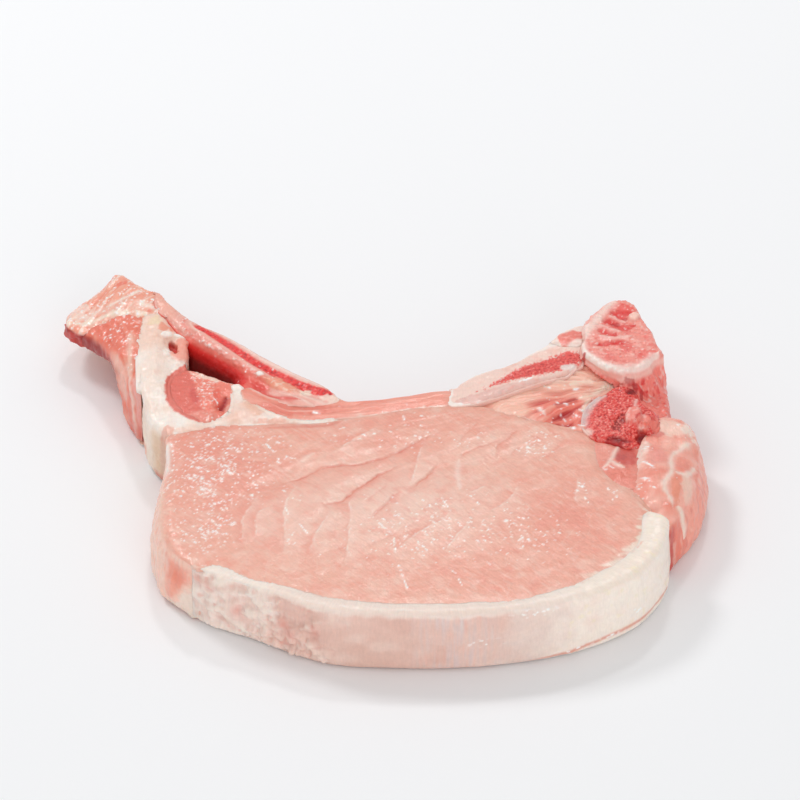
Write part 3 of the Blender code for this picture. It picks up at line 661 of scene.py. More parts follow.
def dress_fat_cap(skin):
    """Back fat: a bright rim above a wall that is torn on the left, waxy in the middle, clear at right."""
    x, z, top = skin.x, skin.z, skin.top
    around = np.arctan2(skin.y + 5, x - 10) * 62
    skin.grain = np.column_stack([around, skin.z, skin.y * 0.2])
    wall = skin.side
    skin.base((235, 199, 186))
    skin.paint((246, 228, 218), ramp(x - 2.5 * skin.noise(3, 1, 2), -26, -28.5))
    skin.paint((228, 190, 176), bell(x, -4, 13) * ramp(z, 14, 8))
    skin.paint((234, 212, 202), ramp(x + 6 * skin.noise(6, 3, 2), 20, 36))
    skin.paint((251, 237, 226), ramp(x + 6 * skin.noise(5, 5, 2), 31, 51))
    torn = ramp(x - 4 * skin.noise(6, 7), -10, -18) * wall
    flakes = skin.noise((4.5, 4.5, 3.2), 9, 3)
    skin.rise += torn * (0.55 * np.tanh(2.5 * flakes) + 0.14 * skin.noise(1.2, 11, 2))
    skin.fleck(CREAM, 0.7 * torn, flakes, 1.6)
    skin.fleck((236, 192, 178), 0.5 * torn, flakes, -1.8, -0.2)
    blood = skin.noise((2.2, 2.2, 1.6), 13, 2)
    skin.fleck((234, 166, 152), 0.45 * torn, blood, 2.4, -1.2)
    low = torn * ramp(x, -34, -31) * ramp(z - 1.5 * skin.noise(2.5, 15), 7, 5)
    lumps, _, _, _ = cells(around / 3.2 + 0.4 * skin.noise(2, 16), z / 2.8 + 0.4 * skin.noise(2, 18), 19)
    skin.rise += low * (0.7 * ramp(lumps, 0, 0.8) - 0.3)
    skin.paint((242, 212, 200), low * 0.8 * ramp(lumps, 0, 0.5))
    skin.paint((228, 154, 140), low * 0.4 * ramp(lumps, 0.22, 0.02) * step_up(0.5 + skin.noise(3, 28)))
    for centre, height, reach in ((-44.6, 13.8, 1.3), (-35.6, 8.5, 1.8), (-22.6, 7.2, 1.3),
            (-16.6, 9.6, 1.1), (-42, 12.6, 1), (-24.5, 9.2, 1.1)):
        pink = np.exp(-((x - centre) / reach)**2
            - ((z - height + 0.6 * skin.noise(1.2, 21)) / (1.4 * reach))**2)
        skin.paint((228, 148, 134), 0.6 * wall * pink)
    skin.bumps(wall, (0.25, (7, 7, 4), 6, 2), (0.05, (0.8, 0.8, 5), 9))
    threads = noise(np.column_stack([around, z]), (0.8, 9), 16) + 0.4 * skin.noise(4, 17)
    streaked = wall * bell(x, 17, 9) * ramp(x, 4, 8)
    shaded = skin.noise((9, 9, 5), 27, 2)
    skin.fleck((222, 178, 164), 0.5 * wall * ramp(x, 30, 18), shaded, 1.2)
    skin.fleck((242, 216, 204), 0.5 * wall, shaded, -1.2)
    skin.rise += streaked * 0.06 * threads
    skin.fleck(BLUE_GREY, 0.75 * streaked, threads, 0.9, 0.35)
    skin.fleck((232, 176, 162), 0.35 * streaked, threads, -1.4, -0.2)
    skin.fleck(WHITE, 0.5 * streaked * ramp(z, 8, 13), threads, 1.8, -0.9)
    warm = ramp(x, 38, 46) * wall
    skin.fleck((246, 232, 196), 0.45 * warm, skin.noise(2.4, 22, 2), 1.8, -0.7)
    base = 0.5 + 2.6 * ramp(x, 30, 60)
    skin.paint((224, 128, 104), 0.75 * wall * np.exp(-((z - base) / 0.5)**2) * ramp(x, 30, 38))

    skin.bumps(top, (0.12, 3, 8, 2), (0.05, 1, 10))
    skin.paint((246, 232, 222), 0.8 * ramp(z + 0.7 * skin.noise(3, 23), 15.2, 16.8))
    skin.paint((247, 233, 220), 0.8 * top * ramp(x, 42, 52))
    yellow = skin.noise((4, 2, 2), 24, 2)
    skin.fleck((248, 234, 198), 0.5 * top * ramp(x, 48, 54), yellow, 1.8, -0.7)
    lean = skin.near("eye_muscle", limit=4)
    skin.paint(LEAN, 0.9 * top * ramp(lean - 0.9 * skin.noise(2.6, 25, 2), 0.1, -0.5)
        * ramp(x, 42, 48))
    skin.glints(0.1, 44)
    # Patches of painted highlight where the wall glints, with small bumps under them.
    for centre, height, reach in ((24, 8.2, (3.5, 1)), (36, 15.5, (4.5, 1.2)), (53, 3.4, (3, 1.2)),
            (45, 1.8, (4, 0.8)), (60.5, 6, (1.5, 1.5))):
        glint_mask = wall * np.exp(-((x - centre) / reach[0])**2 - ((z - height) / reach[1])**2)
        skin.fleck(PAINTED_GLINT, 1.5 * glint_mask, skin.noise((1.6, 1.6, 0.8), 26, 2), 2.2, -0.5)
        skin.rise += 0.12 * glint_mask * skin.noise((1.6, 1.6, 0.8), 26, 2)
    skin.beads += 0.2 * wall


def dress_ridge_fat(skin):
    """Lumpy white fat between the eye and the flap, with a torn pit beside the pocket."""
    x, z, top = skin.x, skin.z, skin.top
    skin.base((246, 226, 214))
    skin.bumps(1, (0.28, 5, 1, 2), (0.12, 1.6, 3, 2))
    skin.fleck((250, 239, 231), 0.9, skin.noise(6, 5), 1, 0.45)
    skin.fleck((244, 208, 190), 0.6, skin.noise(5, 7), 1.5, -0.3)
    skin.paint((244, 206, 188), 0.7 * top * ramp(skin.y, 34, 48))
    skin.patch((242, 196, 178), 0.6 * top, (-36, 15.5), (6, 3))
    skin.patch((242, 190, 170), 0.7 * top, (-33, 20), (3, 4))
    skin.dab((243, 166, 148), 0.95, (-51.2, 42.4), (2.4, 5), 0.25, height=0.4)
    hole = skin.spot((-52.7, 43.6), (0.95, 2.7), 0.25, 12)
    # The pit's opening: dark red, darkest in its middle, the tissue's colour with painted shade of its depth.
    skin.paint((214, 82, 74), hole)
    skin.dab((160, 26, 30), 0.9, (-52.5, 42.4), (0.5, 1.4), 0.25, 12)
    skin.rise -= 1.3 * hole
    for centre, reach, turn in (((-54.4, 48), (1.7, 0.9), 25), ((-51.2, 48.2), (1.2, 0.8), -20),
            ((-54.4, 40.6), (0.8, 2), 0)):
        skin.dab(WHITE, 0.9, centre, reach, 0.3, turn, height=0.4)
    skin.dab((240, 150, 124), 0.8, (-55.4, 50.6), (1.3, 1.6))
    skin.dab((238, 140, 116), 0.8, (-53.2, 50.4), (0.8, 1.2))
    skin.dab((243, 222, 184), 0.6, (-57.6, 53), (1.8, 1.8))
    skin.draw((240, 186, 160), 0.65, [(-34.5, 22), (-32.5, 18), (-30.5, 15.5)], 1.5)
    skin.dab(LEAN, 0.85 * top, (-26, 13.2), (6.5, 1.5))
    skin.draw((240, 190, 168), 0.55, [(-52, 10.2), (-44, 11.4), (-34, 12.4)], 1)
    seam_lines(skin)
    muscle = skin.near("round_muscle", limit=4)
    left = ramp(x, -44.5, -46) * ramp(z, 12, 14)
    skin.seam *= 1 - ramp(muscle, 1.6, 1.2) * left
    skin.paint((229, 114, 100), 0.95 * left * ramp(muscle - 0.4 * skin.noise(1.6, 29, 2), 1.5, 1))
    skin.meets("round_muscle", (240, 176, 160), 0.2, 0.7, 0.6)
    skin.meets("eye_muscle", (243, 198, 180), 0.5, 0.7, 0.7)
    wall = skin.side * ramp(z, 16, 13)
    # Painted shade: the shaded left of the front wall is painted a warmer, darker cream, redder at its foot.
    shade = ramp(x, -58.4, -56) * ramp(skin.y, 16, 13)
    skin.paint((245, 228, 212), wall)
    skin.paint((236, 206, 178), 0.9 * wall * shade)
    skin.paint((228, 186, 168), 0.7 * wall * ramp(x, -55.6, -54.8))
    # Painted warm shade in the hollow beside the eye's corner.
    skin.dab((234, 164, 144), 0.6 * ramp(z, 11, 14), (-53.4, 10.4), (1.4, 1.6))
    skin.paint((214, 120, 110), 0.8 * wall * shade * ramp(z, 3.4, 1.4))
    skin.paint((242, 178, 156), 0.9 * wall * ramp(skin.y, 17, 20) * ramp(z, 6, 4))
    skin.glints(0.1, 46)
    skin.beads += 0.1


# ---------------------------------------------------------------- muscles beside the spine

def dress_lobe(skin):
    """Outer muscle, parted by white seams."""
    x, y, z = skin.x, skin.y, skin.z
    skin.base((249, 186, 170))
    skin.paint((240, 150, 132), 0.45 + 0.8 * skin.noise(5, 1, 2))
    skin.bumps(1, (0.25, 4, 3, 2), (0.06, 1, 5))
    for patch in (
            ((248, 208, 192), 0.9, (69.6, 12), (5, 3.4)),
            ((247, 226, 214), 0.7, (74.2, 12.2), (1.6, 1.6), 0.6),
            ((247, 226, 214), 0.7, (76, 9.2), (1.3, 0.9), 0.6),
            ((224, 122, 112), 0.8, (66.2, 9.4), (2, 1.6)),
            ((238, 160, 150), 0.6, (66.4, 0), (2.4, 4)),
            ((238, 150, 134), 0.7, (72.6, -1.4), (1.6, 2.6)),
            ((239, 154, 130), 0.85, (70.6, -11), (1, 5), 0.35),
            ((243, 206, 190), 0.8, (73.4, -10), (1.3, 5)),
            ((234, 140, 126), 0.75, (76.8, -4.4), (1, 5))):
        skin.dab(*patch)
    seams = [
        ([(75.8, 9), (72.5, 4.7), (70.4, 1.9), (69.5, -2), (69.6, -6.1), (67.7, -11.4), (69.2, -15.5),
         (69.8, -18.4)], 0.75),
        ([(70.2, -5.6), (71.6, -5.8), (73.8, -4.9), (75.6, -0.6)], 0.7),
        ([(64.4, 7.2), (63.4, 2), (62.3, -1.6), (61.8, -4.6), (60.4, -8.9), (60, -11.8)], 0.7),
    ]
    for line, width in seams:
        seam = skin.stripe(line, width, 0.5, ends=0.1)
        skin.paint((246, 222, 210), 0.85 * seam)
        skin.rise += 0.1 * seam * skin.top
    side = skin.side * ramp(z, 15, 12)
    threads = skin.noise((2.2, 2.2, 6), 7, 2)
    skin.paint((248, 160, 140), 0.9 * side)
    skin.paint((238, 132, 112), side * ramp(y - 2 * skin.noise(3, 8), -17, -20))
    skin.paint((196, 66, 60), 0.8 * side * ramp(x, 70.4, 69.4) * ramp(y, -19, -21))
    skin.fleck((244, 206, 190), 0.4 * side, threads, 1.6, -0.2)
    skin.fleck((222, 120, 110), 0.5 * side, threads, -1.6, -0.3)
    skin.draw((246, 222, 206), 0.9 * (z > 7), [(70.9, -16), (72.2, -18.4), (72.4, -20)], 0.9)
    field = np.maximum(0.7 * skin.spot((62.8, -13.4), (2.6, 4)), 0.7 * skin.spot((64.2, -2.6), (1.2, 2)))
    field = np.maximum(field, 0.6 * skin.spot((64.6, 3.4), (1.2, 1.2)))
    field = np.maximum(field, 0.5 * skin.spot((74.2, 11.6), (3, 3)))
    skin.glints(np.maximum(field, 0.08), 48)
    skin.dashes([((62.6, -8.4), (64.2, -9.9)), ((63.2, -2.2), (65.4, -4.8)), ((64.2, 4.2), (65, 2.8))],
        0.35)
    skin.beads += 0.2


def dress_oval(skin):
    """A small muscle: a pale lobe, a white fork, and a darker part where it thins towards the bone."""
    skin.base((237, 146, 130))
    skin.bumps(1, (0.15, 3, 1, 2), (0.05, 0.9, 3))
    skin.dab((241, 160, 144), 0.9, (53.2, 3), (2.6, 5))
    skin.dab((210, 96, 88), 0.95, (58.6, 0.6), (2.7, 4.4), 0.2)
    skin.dab((190, 84, 82), 0.6, (57.2, -0.2), (1.6, 1.4))
    skin.dab((233, 132, 114), 0.85, (56.8, -7.4), (3.4, 2.2))
    for line in ([(57.2, 5.2), (56, 2), (55, -1.2), (53.4, -4.4)],
            [(55, -1.6), (56.6, -3.4), (58.4, -4.6)]):
        skin.draw((245, 214, 202), 0.9, line, 0.6, height=0.12)
    skin.dashes([((53.4, -3.6), (54, -5)), ((54.9, -3.9), (55.5, -4.6)), ((55.9, -9.9), (57, -10.1))])
    skin.glints(0.1, 50)
    # Pale paint on the border with the eye: painted light that cancels the shade of the gap.
    skin.meets("eye_muscle", GAP_FILL_LIGHT, 0.2, 0.3, 0.8)
    skin.beads += 0.2


def dress_arch(skin):
    """Spongy bone: fine dark pores, a rim of dense bone, a nub and open pits."""
    grain = skin.noise(0.5, 1, 2)
    pores = skin.noise(0.45, 11)
    skin.seam[:] = 0
    skin.base((230, 74, 68))
    skin.rise += skin.top * (0.14 * grain + 0.15 * skin.noise(2.2, 3, 2))
    skin.fleck((243, 132, 122), 1, grain, 1.7)
    skin.fleck((252, 190, 178), 0.7, pores, 2.4, -0.9)
    skin.fleck((178, 28, 32), 1, grain, -1.7, -0.35)
    # A hollow painted nearly black-red: the bone's red with painted shade of its depth.
    hollow = skin.spot((57.6, 13), (1.1, 3.6), 0.7, -20)
    skin.rise -= 0.35 * hollow
    skin.paint((150, 20, 24), 0.85 * hollow * step_up(0.8 - grain))
    for centre, reach in (((60.9, 14.4), (1.9, 2.8)), ((63.6, 12.6), (1.5, 1.5)), ((63, 10.6), (1.2, 1))):
        nub = skin.spot(centre, reach, 0.2)
        skin.paint((247, 150, 138), nub)
        skin.fleck((252, 202, 192), 0.8 * nub, skin.noise(1.4, 5, 2), 1.4)
        skin.rise += 1.1 * nub
    skin.dab((243, 132, 118), 0.9, (66.2, 11.8), (2.4, 2.2))
    skin.draw(RED, 1, [(61.4, 12.4), (63.5, 14), (66.5, 13)], 0.6)
    skin.draw((228, 212, 208), 0.95, [(49.2, 8.6), (48.9, 12), (49.6, 16.5), (51.6, 20.5), (54.5, 23)],
        0.75, ends=0.05)
    skin.draw((244, 190, 182), 0.9, [(62, 21.5), (61.4, 19.4), (61.7, 17)], 0.5, ends=0.05)
    knob = skin.spot((49.2, 8.8), (1.6, 1.6), 0.2)
    skin.paint((246, 206, 194), 0.9 * knob)
    skin.dab((236, 100, 84), 0.8, (50.2, 7.4), (1, 0.6), 0.2)
    # Open pits: dark red, darkest at their middles, the bone's colour with painted shade of their depth.
    for centre, reach, turn in (((57.4, 6.2), (2.9, 0.75), -12), ((62.6, 8), (1.3, 1.9), 0),
            ((60.6, 24), (1.2, 1.2), 0)):
        pit = skin.spot(centre, reach, 0.3, turn)
        skin.paint((176, 26, 32), pit)
        skin.dab((130, 12, 18), 0.7, centre, (0.5 * reach[0], 0.5 * reach[1]), 0.3, turn)
        skin.rise -= 0.7 * pit
    skin.beads += 0.4 * skin.top


def dress_vertebra(skin):
    """The sawn body of the vertebra: spongy face, dense pale rim, saw hollows, a red shelf below its lip."""
    x, y = skin.x, skin.y
    grain = skin.noise(0.9, 1, 2)
    skin.seam[:] = 0
    skin.base((245, 152, 140))
    face = ramp(skin.z, 19.5, 21) * skin.top
    skin.rise += face * (0.12 * grain + 0.15 * skin.noise((2.6, 1.4, 2), 4, 2))
    skin.fleck((248, 182, 170), 0.6 * face, skin.noise(2, 6, 2), 1.4)
    skin.fleck((236, 104, 98), 0.55 * face, skin.noise(2.4, 8, 2), -1.5, -0.1)
    skin.dab((240, 88, 80), 0.8 * face, (59.8, 53), (2.6, 2.2))
    skin.dab((240, 96, 88), 0.6 * face, (57.2, 46.4), (3.6, 2.6))
    skin.dab((240, 104, 96), 0.7 * face, (64.6, 33.6), (2.4, 1.8))
    skin.dab((232, 92, 86), 0.6 * face, (59.4, 36.6), (1.6, 2.2))
    bars = [
        ([(55.4, 50.4), (57.7, 49), (59.9, 47.2)], 0.8),
        ([(52.6, 45.9), (54.9, 44.5), (56.6, 43.5), (58.6, 43)], 0.75),
        ([(53, 41.4), (55.6, 40.3), (58.2, 40.2), (61, 41)], 0.9),
    ]
    for line, width in bars:
        skin.draw((250, 200, 190), 0.9 * face, line, width, 0.2, height=0.25 * face)
    strokes = [
        ([(57.4, 52.6), (59.6, 51.4), (62, 51.2)], 1), ([(55.8, 51.8), (57.7, 50.6), (59.8, 48.9)], 0.95),
        ([(53.4, 47.1), (55.5, 47.9), (57, 46.8), (58.9, 44.9), (61.8, 44.9)], 1.35),
        ([(52.5, 44.3), (54.5, 42.7), (56.2, 41.9), (58.2, 41.7)], 1.1), ([(60.6, 46), (62.2, 46.2)], 0.8),
        ([(51.8, 37.6), (54.8, 37.8), (57.1, 38.5), (60.2, 38.9)], 0.8),
    ]
    for line, width in strokes:
        hollow = skin.stripe(line, width, 0.2, 0.2) * face
        skin.paint((228, 64, 62), (0.95 + 0.3 * skin.noise(1, 14, 2)) * hollow)
        skin.rise -= 0.4 * hollow
    skin.dab((196, 32, 38), 0.85 * face, (56.8, 46.9), (1.4, 0.9))
    skin.dab((202, 36, 42), 0.7 * face, (59.5, 49), (0.7, 0.7))
    skin.fleck((252, 220, 212), 0.75 * face, skin.noise(0.8, 7), 2.4, -0.9)
    skin.fleck((220, 62, 60), 0.6 * face, skin.noise(0.9, 9, 2), -2, -0.8)
    skin.dab((251, 204, 190), face, (61.7, 49.4), (1.3, 1.6), 0.1, height=0.8 * face)
    skin.dab((228, 76, 70), 0.8 * face, (49.9, 35.2), (0.9, 0.9), 0.2)
    lip = ramp(skin.z, 18.6, 20.2)
    edge = [(50.8, 47), (49.2, 42.5), (48.2, 38), (50.2, 33.2), (53.4, 30), (56.5, 28.4), (59.5, 28.1),
            (62.5, 28.9), (65.6, 31.8), (67.6, 35)]
    rim = ramp(skin.z, 20.2, 21.4) * skin.stripe(edge, 1.2, ends=0.06)
    rim *= 0.7 + 0.3 * ramp(x, 58, 54)
    skin.paint((251, 236, 228), 1.15 * rim)
    skin.rise += 0.2 * rim
    skin.draw((249, 216, 206), 0.95, [(48.6, 40), (50.4, 44), (52.2, 48), (54.2, 52.4), (57.3, 57)], 1.5,
        ends=0.05)
    skin.dab((240, 176, 164), 0.8, (67, 42.6), (0.9, 4))
    skin.paint((247, 190, 178), (1 - rim) * lip * ramp(skin.z, 21.6, 20.8))
    shelf = (1 - lip) * ramp(skin.z, 3, 7)
    flesh = skin.noise((1.2, 1.2, 3.5), 10, 2)
    skin.paint((246, 136, 124), shelf)
    skin.fleck((222, 70, 64), 0.7 * shelf, flesh, 1.6, -0.4)
    skin.fleck((248, 204, 194), 0.7 * shelf, skin.noise((0.9, 0.9, 4), 12, 2), 1.6, -0.3)
    for centre, reach in (((61.8, 26.9), (2.6, 1.3)), ((63.6, 26), (1.2, 1.2)), ((66.9, 27.6), (1.2, 1))):
        skin.dab((222, 56, 54), 0.8 * (1 - lip) * step_up(0.7 + 1.2 * flesh), centre, reach, 0.6)
    skin.dab((178, 26, 32), 0.6 * ramp(skin.z, 16, 18), (60.3, 26.2), (1.6, 0.6), 0.5)
    skin.rise += shelf * 0.3 * flesh
    for centre, reach in (((61.6, 25.6), (0.6, 0.9)), ((63.2, 25.2), (0.5, 1.1)),
            ((49.2, 34.4), (0.5, 0.5))):
        skin.dab((188, 40, 42), 0.8, centre, reach, 0.2)
    skin.paint((246, 200, 188), 0.6 * skin.side * ramp(y, 34, 40))
    skin.beads += 0.35


def dress_disc(skin):
    """Cartilage: a milky rim round a pink middle."""
    skin.base((245, 222, 212))
    skin.bumps(1, (0.2, 3, 1, 2))
    middle = skin.stripe([(42.6, 42.6), (46, 44.4), (48.6, 46.4)], 2, 0.25, 0.2)
    skin.paint((238, 136, 124), ramp(middle, 0.3, 0.6))
    skin.fleck((246, 180, 168), 0.6 * middle, skin.noise(0.9, 3, 2), 1.5)
    skin.draw(WHITE, 0.9, [(41.2, 44.6), (44.4, 47.4), (48, 49.6)], 0.7, ends=0.05)
    skin.meets("near_rib_bone", WHITE, 0.5, 0.3)
    skin.beads += 0.3


def dress_near_rib(skin):
    """The rib's sawn edge: speckled marrow inside a pale rim, with a strip of grey cartilage in front."""
    x, y, top = skin.x, skin.y, skin.top
    skin.base((245, 212, 200))
    skin.bumps(top, (0.12, 2.4, 1, 2), (0.05, 0.9, 3))
    skin.fleck((243, 192, 178), 0.6 * top, skin.noise(4, 5, 2), 1.2, 0.2)
    middle = [(22, 24.6), (28, 28.2), (33.2, 31), (38, 32.7), (42.5, 34.2), (46.2, 36)]
    away, side, _ = to_line(x, y, curve_through(middle))
    across = away * side
    half = 0.3 + 3.2 * ramp(x, 22, 41) - 0.8 * ramp(x, 45, 48)
    grain = skin.noise(0.6, 9, 2)
    marrow = step_up((half + 0.9 * grain - away) / 0.8) * top
    skin.paint((232, 74, 68), 0.95 * marrow)
    skin.fleck((248, 160, 148), 0.8 * marrow, grain, 1.8, -0.6)
    skin.fleck((196, 34, 38), marrow, grain, -1.8, -0.2)
    skin.rise += marrow * (0.14 * grain - 0.15)
    grey = step_up((-across - half - 0.1) / 0.8) * top * ramp(x, 44, 39)
    skin.paint((234, 190, 180), 0.95 * grey)
    skin.fleck((224, 194, 190), 0.5 * grey, skin.noise(3, 11, 2), 1.3)
    skin.fleck((240, 168, 156), 0.5 * grey, skin.noise(2, 12, 2), -1.5, -0.3)
    front = skin.near("strand_muscle", "strip_muscle", "eye_muscle", limit=4)
    skin.paint(WHITE, 0.8 * ramp(front - 0.8 * skin.noise(2, 13), 0.5, 0.1) * top
        * ramp(x, 45, 41))
    back = [(16, 27.4), (20, 30.6), (26, 33.8), (32, 36.6), (38, 39.8), (43, 41.4), (48, 41.2)]
    skin.draw(WHITE, 0.9, back, 0.7, ends=0.04)
    skin.dab((236, 222, 216), 0.9, (45, 32.6), (2, 1.4))
    skin.paint((243, 196, 184), 0.8 * skin.side)
    skin.dashes([((21.6, 21), (23, 21.8)), ((17.4, 21.2), (19.4, 20.9)), ((33, 27.6), (36, 28.6))], 0.3)
    skin.beads += 0.3


def dress_strands(skin):
    """Strands of muscle that fan out from the vertebra, red near the bone and pale towards the eye."""
    x, y = skin.x, skin.y
    angle = np.arctan2(27.5 - y, 58 - x)
    reach = np.hypot(27.5 - y, 58 - x)
    fan = np.column_stack([angle * 22 + 0.8 * skin.noise(5, 1), reach])
    skin.grain = np.column_stack([fan[:, 0], fan[:, 1] * 0.3, skin.z])
    strand = layered(fan, (2.2, 14), 3, 3)
    skin.rise += skin.top * (0.5 * strand + 0.1 * noise(fan, (0.9, 8), 7))
    skin.base((250, 194, 174))
    redness = ramp(x + 4 * skin.noise(6, 9), 33, 42) * ramp(y, 28, 20)
    skin.paint((242, 130, 114), 0.95 * redness)
    # Deep red in the hollows between strands and paler on their crests: the strands' own colours, with
    # painted shade in the hollows.
    skin.fleck((198, 44, 46), redness, strand, -1.7)
    skin.fleck((244, 172, 154), redness * 0.8, strand, 1.4, -0.1)
    skin.fleck(PALE, 0.7 * (1 - redness), strand, 1.2)
    skin.fleck((236, 142, 122), 0.7 * (1 - redness), strand, -1.3, -0.2)
    for line, width in (([(57, 28), (54, 26.4), (50.4, 24.2), (47, 22)], 0.9),
            ([(52, 29), (48, 28), (45, 27.6)], 0.8), ([(50.6, 23.2), (49, 20), (48.6, 17.4)], 0.6)):
        skin.draw((251, 226, 208), 0.85, line, width)
    skin.draw(WHITE, 0.9, [(31, 15.4), (34.5, 14.6), (38, 14.2)], 0.7)
    skin.draw(WHITE, 0.8, [(37.6, 19.4), (38.6, 17.4), (39.4, 15.8)], 0.5, 0.6)
    # Painted shadow lines between strands.
    for line in ([(40.6, 15), (43.4, 16.8), (46.6, 18.6)], [(41, 19.8), (44, 20.8), (47.6, 22.6)],
            [(39.6, 13.6), (43, 13.4), (47, 13)]):
        skin.draw((184, 50, 48), 0.75, line, 0.8)
    skin.dashes([((43, 22.8), (43.8, 21.2)), ((43.6, 20.6), (44.8, 20.2)), ((43.2, 17.4), (44.2, 15.6)),
        ((42.6, 15.2), (43.6, 13.6)), ((38, 16.6), (39, 17.6)), ((37.4, 18.8), (38.6, 19.2)),
        ((44.4, 12.8), (45.8, 12)), ((47.6, 19.2), (48.6, 18.4)), ((39.4, 26.8), (40.6, 26.2)),
        ((46.6, 26.2), (47.6, 26.6))], 0.28, 0.15)
    skin.glints(0.08 + 0.4 * redness, 52)
    seam_lines(skin)
    skin.beads += 0.3


def dress_strip(skin):
    """A thin strip of meat whose fibres run along it."""
    x, y = skin.x, skin.y
    line = curve_through([(-36, 27), (-30, 22), (-22, 18.6), (-10, 19.4), (2, 21.4), (17, 24)])
    away, side, share = to_line(x, y, line)
    fibres = np.column_stack([away * side + 0.4 * skin.noise(5, 1), share * 56])
    skin.grain = np.column_stack([fibres, skin.z])
    strand = layered(fibres, (1.3, 16), 3, 2)
    skin.rise += skin.top * 0.22 * strand + skin.side * 0.3 * skin.noise((6, 6, 2), 8, 2)
    skin.base((243, 162, 144))
    skin.dab((232, 130, 112), 0.95, (-24, 18.8), (11, 2.4), 0.3)
    skin.dab((240, 150, 132), 0.8, (-3, 20.6), (4, 2.4), 0.3)
    skin.fleck(PALE, 0.35, strand, 1.3, -0.1)
    skin.fleck((232, 132, 116), 0.4, strand, -1.3)
    skin.draw(SALMON, 0.7, [(-37, 30), (-33, 25.6), (-28, 22.4), (-20, 21.2)], 0.7)
    skin.meets("eye_muscle", CREAM, 0.6, 0.4, 0.7)
    seam_lines(skin)
    skin.paint((239, 178, 162), 0.8 * skin.side)
    skin.glints(0.1, 54)
    skin.dashes([((-17.6, 17.4), (-16.4, 17))], 0.4)
    skin.beads += 0.2


# ---------------------------------------------------------------- the far rib and the flap

MARROW = [(-47.4, 51.6), (-46, 49.6), (-39.4, 43.4), (-30.1, 34.7), (-20.4, 27.6), (-14.5, 24.6)]


def dress_far_rib(skin):
    """The rib laid open along its length: marrow, pale walls, and the hollow beside it, painted darker lower
    down as painted shade.
    """
    x, y, z, top = skin.x, skin.y, skin.z, skin.top
    away, side, share = to_line(x, y, curve_through(MARROW))
    across = away * side
    fibres = np.column_stack([across + 0.3 * skin.noise(4, 1), share * 46])
    skin.grain = np.column_stack([fibres, z])
    streak = layered(fibres, (0.9, 12), 3, 2)
    skin.base((240, 178, 164))
    skin.fleck((244, 208, 196), 0.7, streak, 1.3)
    skin.fleck((232, 140, 126), 0.5, streak, -1.3)
    skin.rise += top * (0.12 * streak + 0.05 * skin.noise(0.8, 6))
    speckled = bell(across, -3, 0.8) * top * ramp(share, 0.75, 0.65)
    skin.paint((240, 150, 138), 0.8 * speckled)
    skin.fleck(WHITE, 0.9 * speckled, skin.noise(1, 7, 2), 2.4, -0.5)
    skin.rise += 0.2 * speckled * skin.noise(1, 7, 2)

    grain = skin.noise(0.8, 9, 2)
    half = 0.85 + 0.65 * share + 0.15 * grain
    marrow = step_up((half + 0.3 - away) / 0.6) * top * ramp(share, 0, 0.03)
    skin.paint((236, 44, 42), 0.97 * marrow)
    skin.fleck((190, 26, 28), marrow, grain, -1.7, -0.25)
    skin.fleck((248, 130, 118), marrow, grain, 2, -0.8)
    skin.rise += marrow * (0.16 * grain - 0.12)
    skin.paint((246, 216, 206), 0.9 * np.exp(-((across - half - 1.1) / 0.55)**2) * top)

    # The hollow beside the rib is painted red and then darker step by step lower down, nearly black at its
    # floor: painted shade of its depth.
    pocket = (across < -2.4) * ramp(z - 0.3 * skin.noise(1.4, 10), 17.9, 17) * ramp(share, -0.06,
        -0.01)
    pocket = pocket * ramp(share, 0.72, 0.67)
    skin.paint((238, 124, 110), pocket)
    skin.paint((230, 66, 62), pocket * ramp(z, 17, 15.8))
    skin.paint((196, 30, 36), pocket * ramp(z, 15.9, 14.5))
    skin.paint((130, 8, 16), pocket * ramp(z, 14.6, 12.8))
    skin.rise += pocket * 0.15 * skin.noise((2, 2, 5), 12, 2)

    lens = skin.spot((-25.6, 28), (5.2, 1.9), 0.2, -35)
    skin.paint((239, 158, 132), 0.95 * lens)
    skin.fleck((247, 214, 194), 0.8 * lens, skin.noise((1.6, 1, 1), 14, 2), 1.6, -0.2)
    skin.rise += 0.3 * lens
    skin.draw((222, 84, 74), 0.85, [(-33, 29.6), (-30, 26), (-26, 23.4), (-20.8, 22)], 0.65)
    skin.dab(WHITE, 1, (-31, 32.2), (1, 0.75), 0.15, -40, height=0.4)
    flake = skin.spot((-19.8, 25), (1.5, 1.2), 0.3)
    skin.paint((247, 222, 204), 0.9 * flake)
    skin.dab((244, 214, 200), 0.9, (-12.6, 22.6), (4.5, 1.2), 0.3, -12)
    outer = skin.side * (across > 0)
    skin.paint((243, 198, 186), outer)
    skin.fleck((236, 152, 138), 0.6 * outer, skin.noise((5, 5, 1.6), 15, 2), 1.2)
    skin.dab((206, 92, 88), 0.9, (-55.2, 62), (1.2, 2), 0.4)
    skin.paint((240, 176, 158), 0.9 * ramp(x, -52, -53.5) * top)
    skin.glints(0.14 + 0.2 * speckled, 56)
    skin.beads += 0.2 + 0.3 * marrow


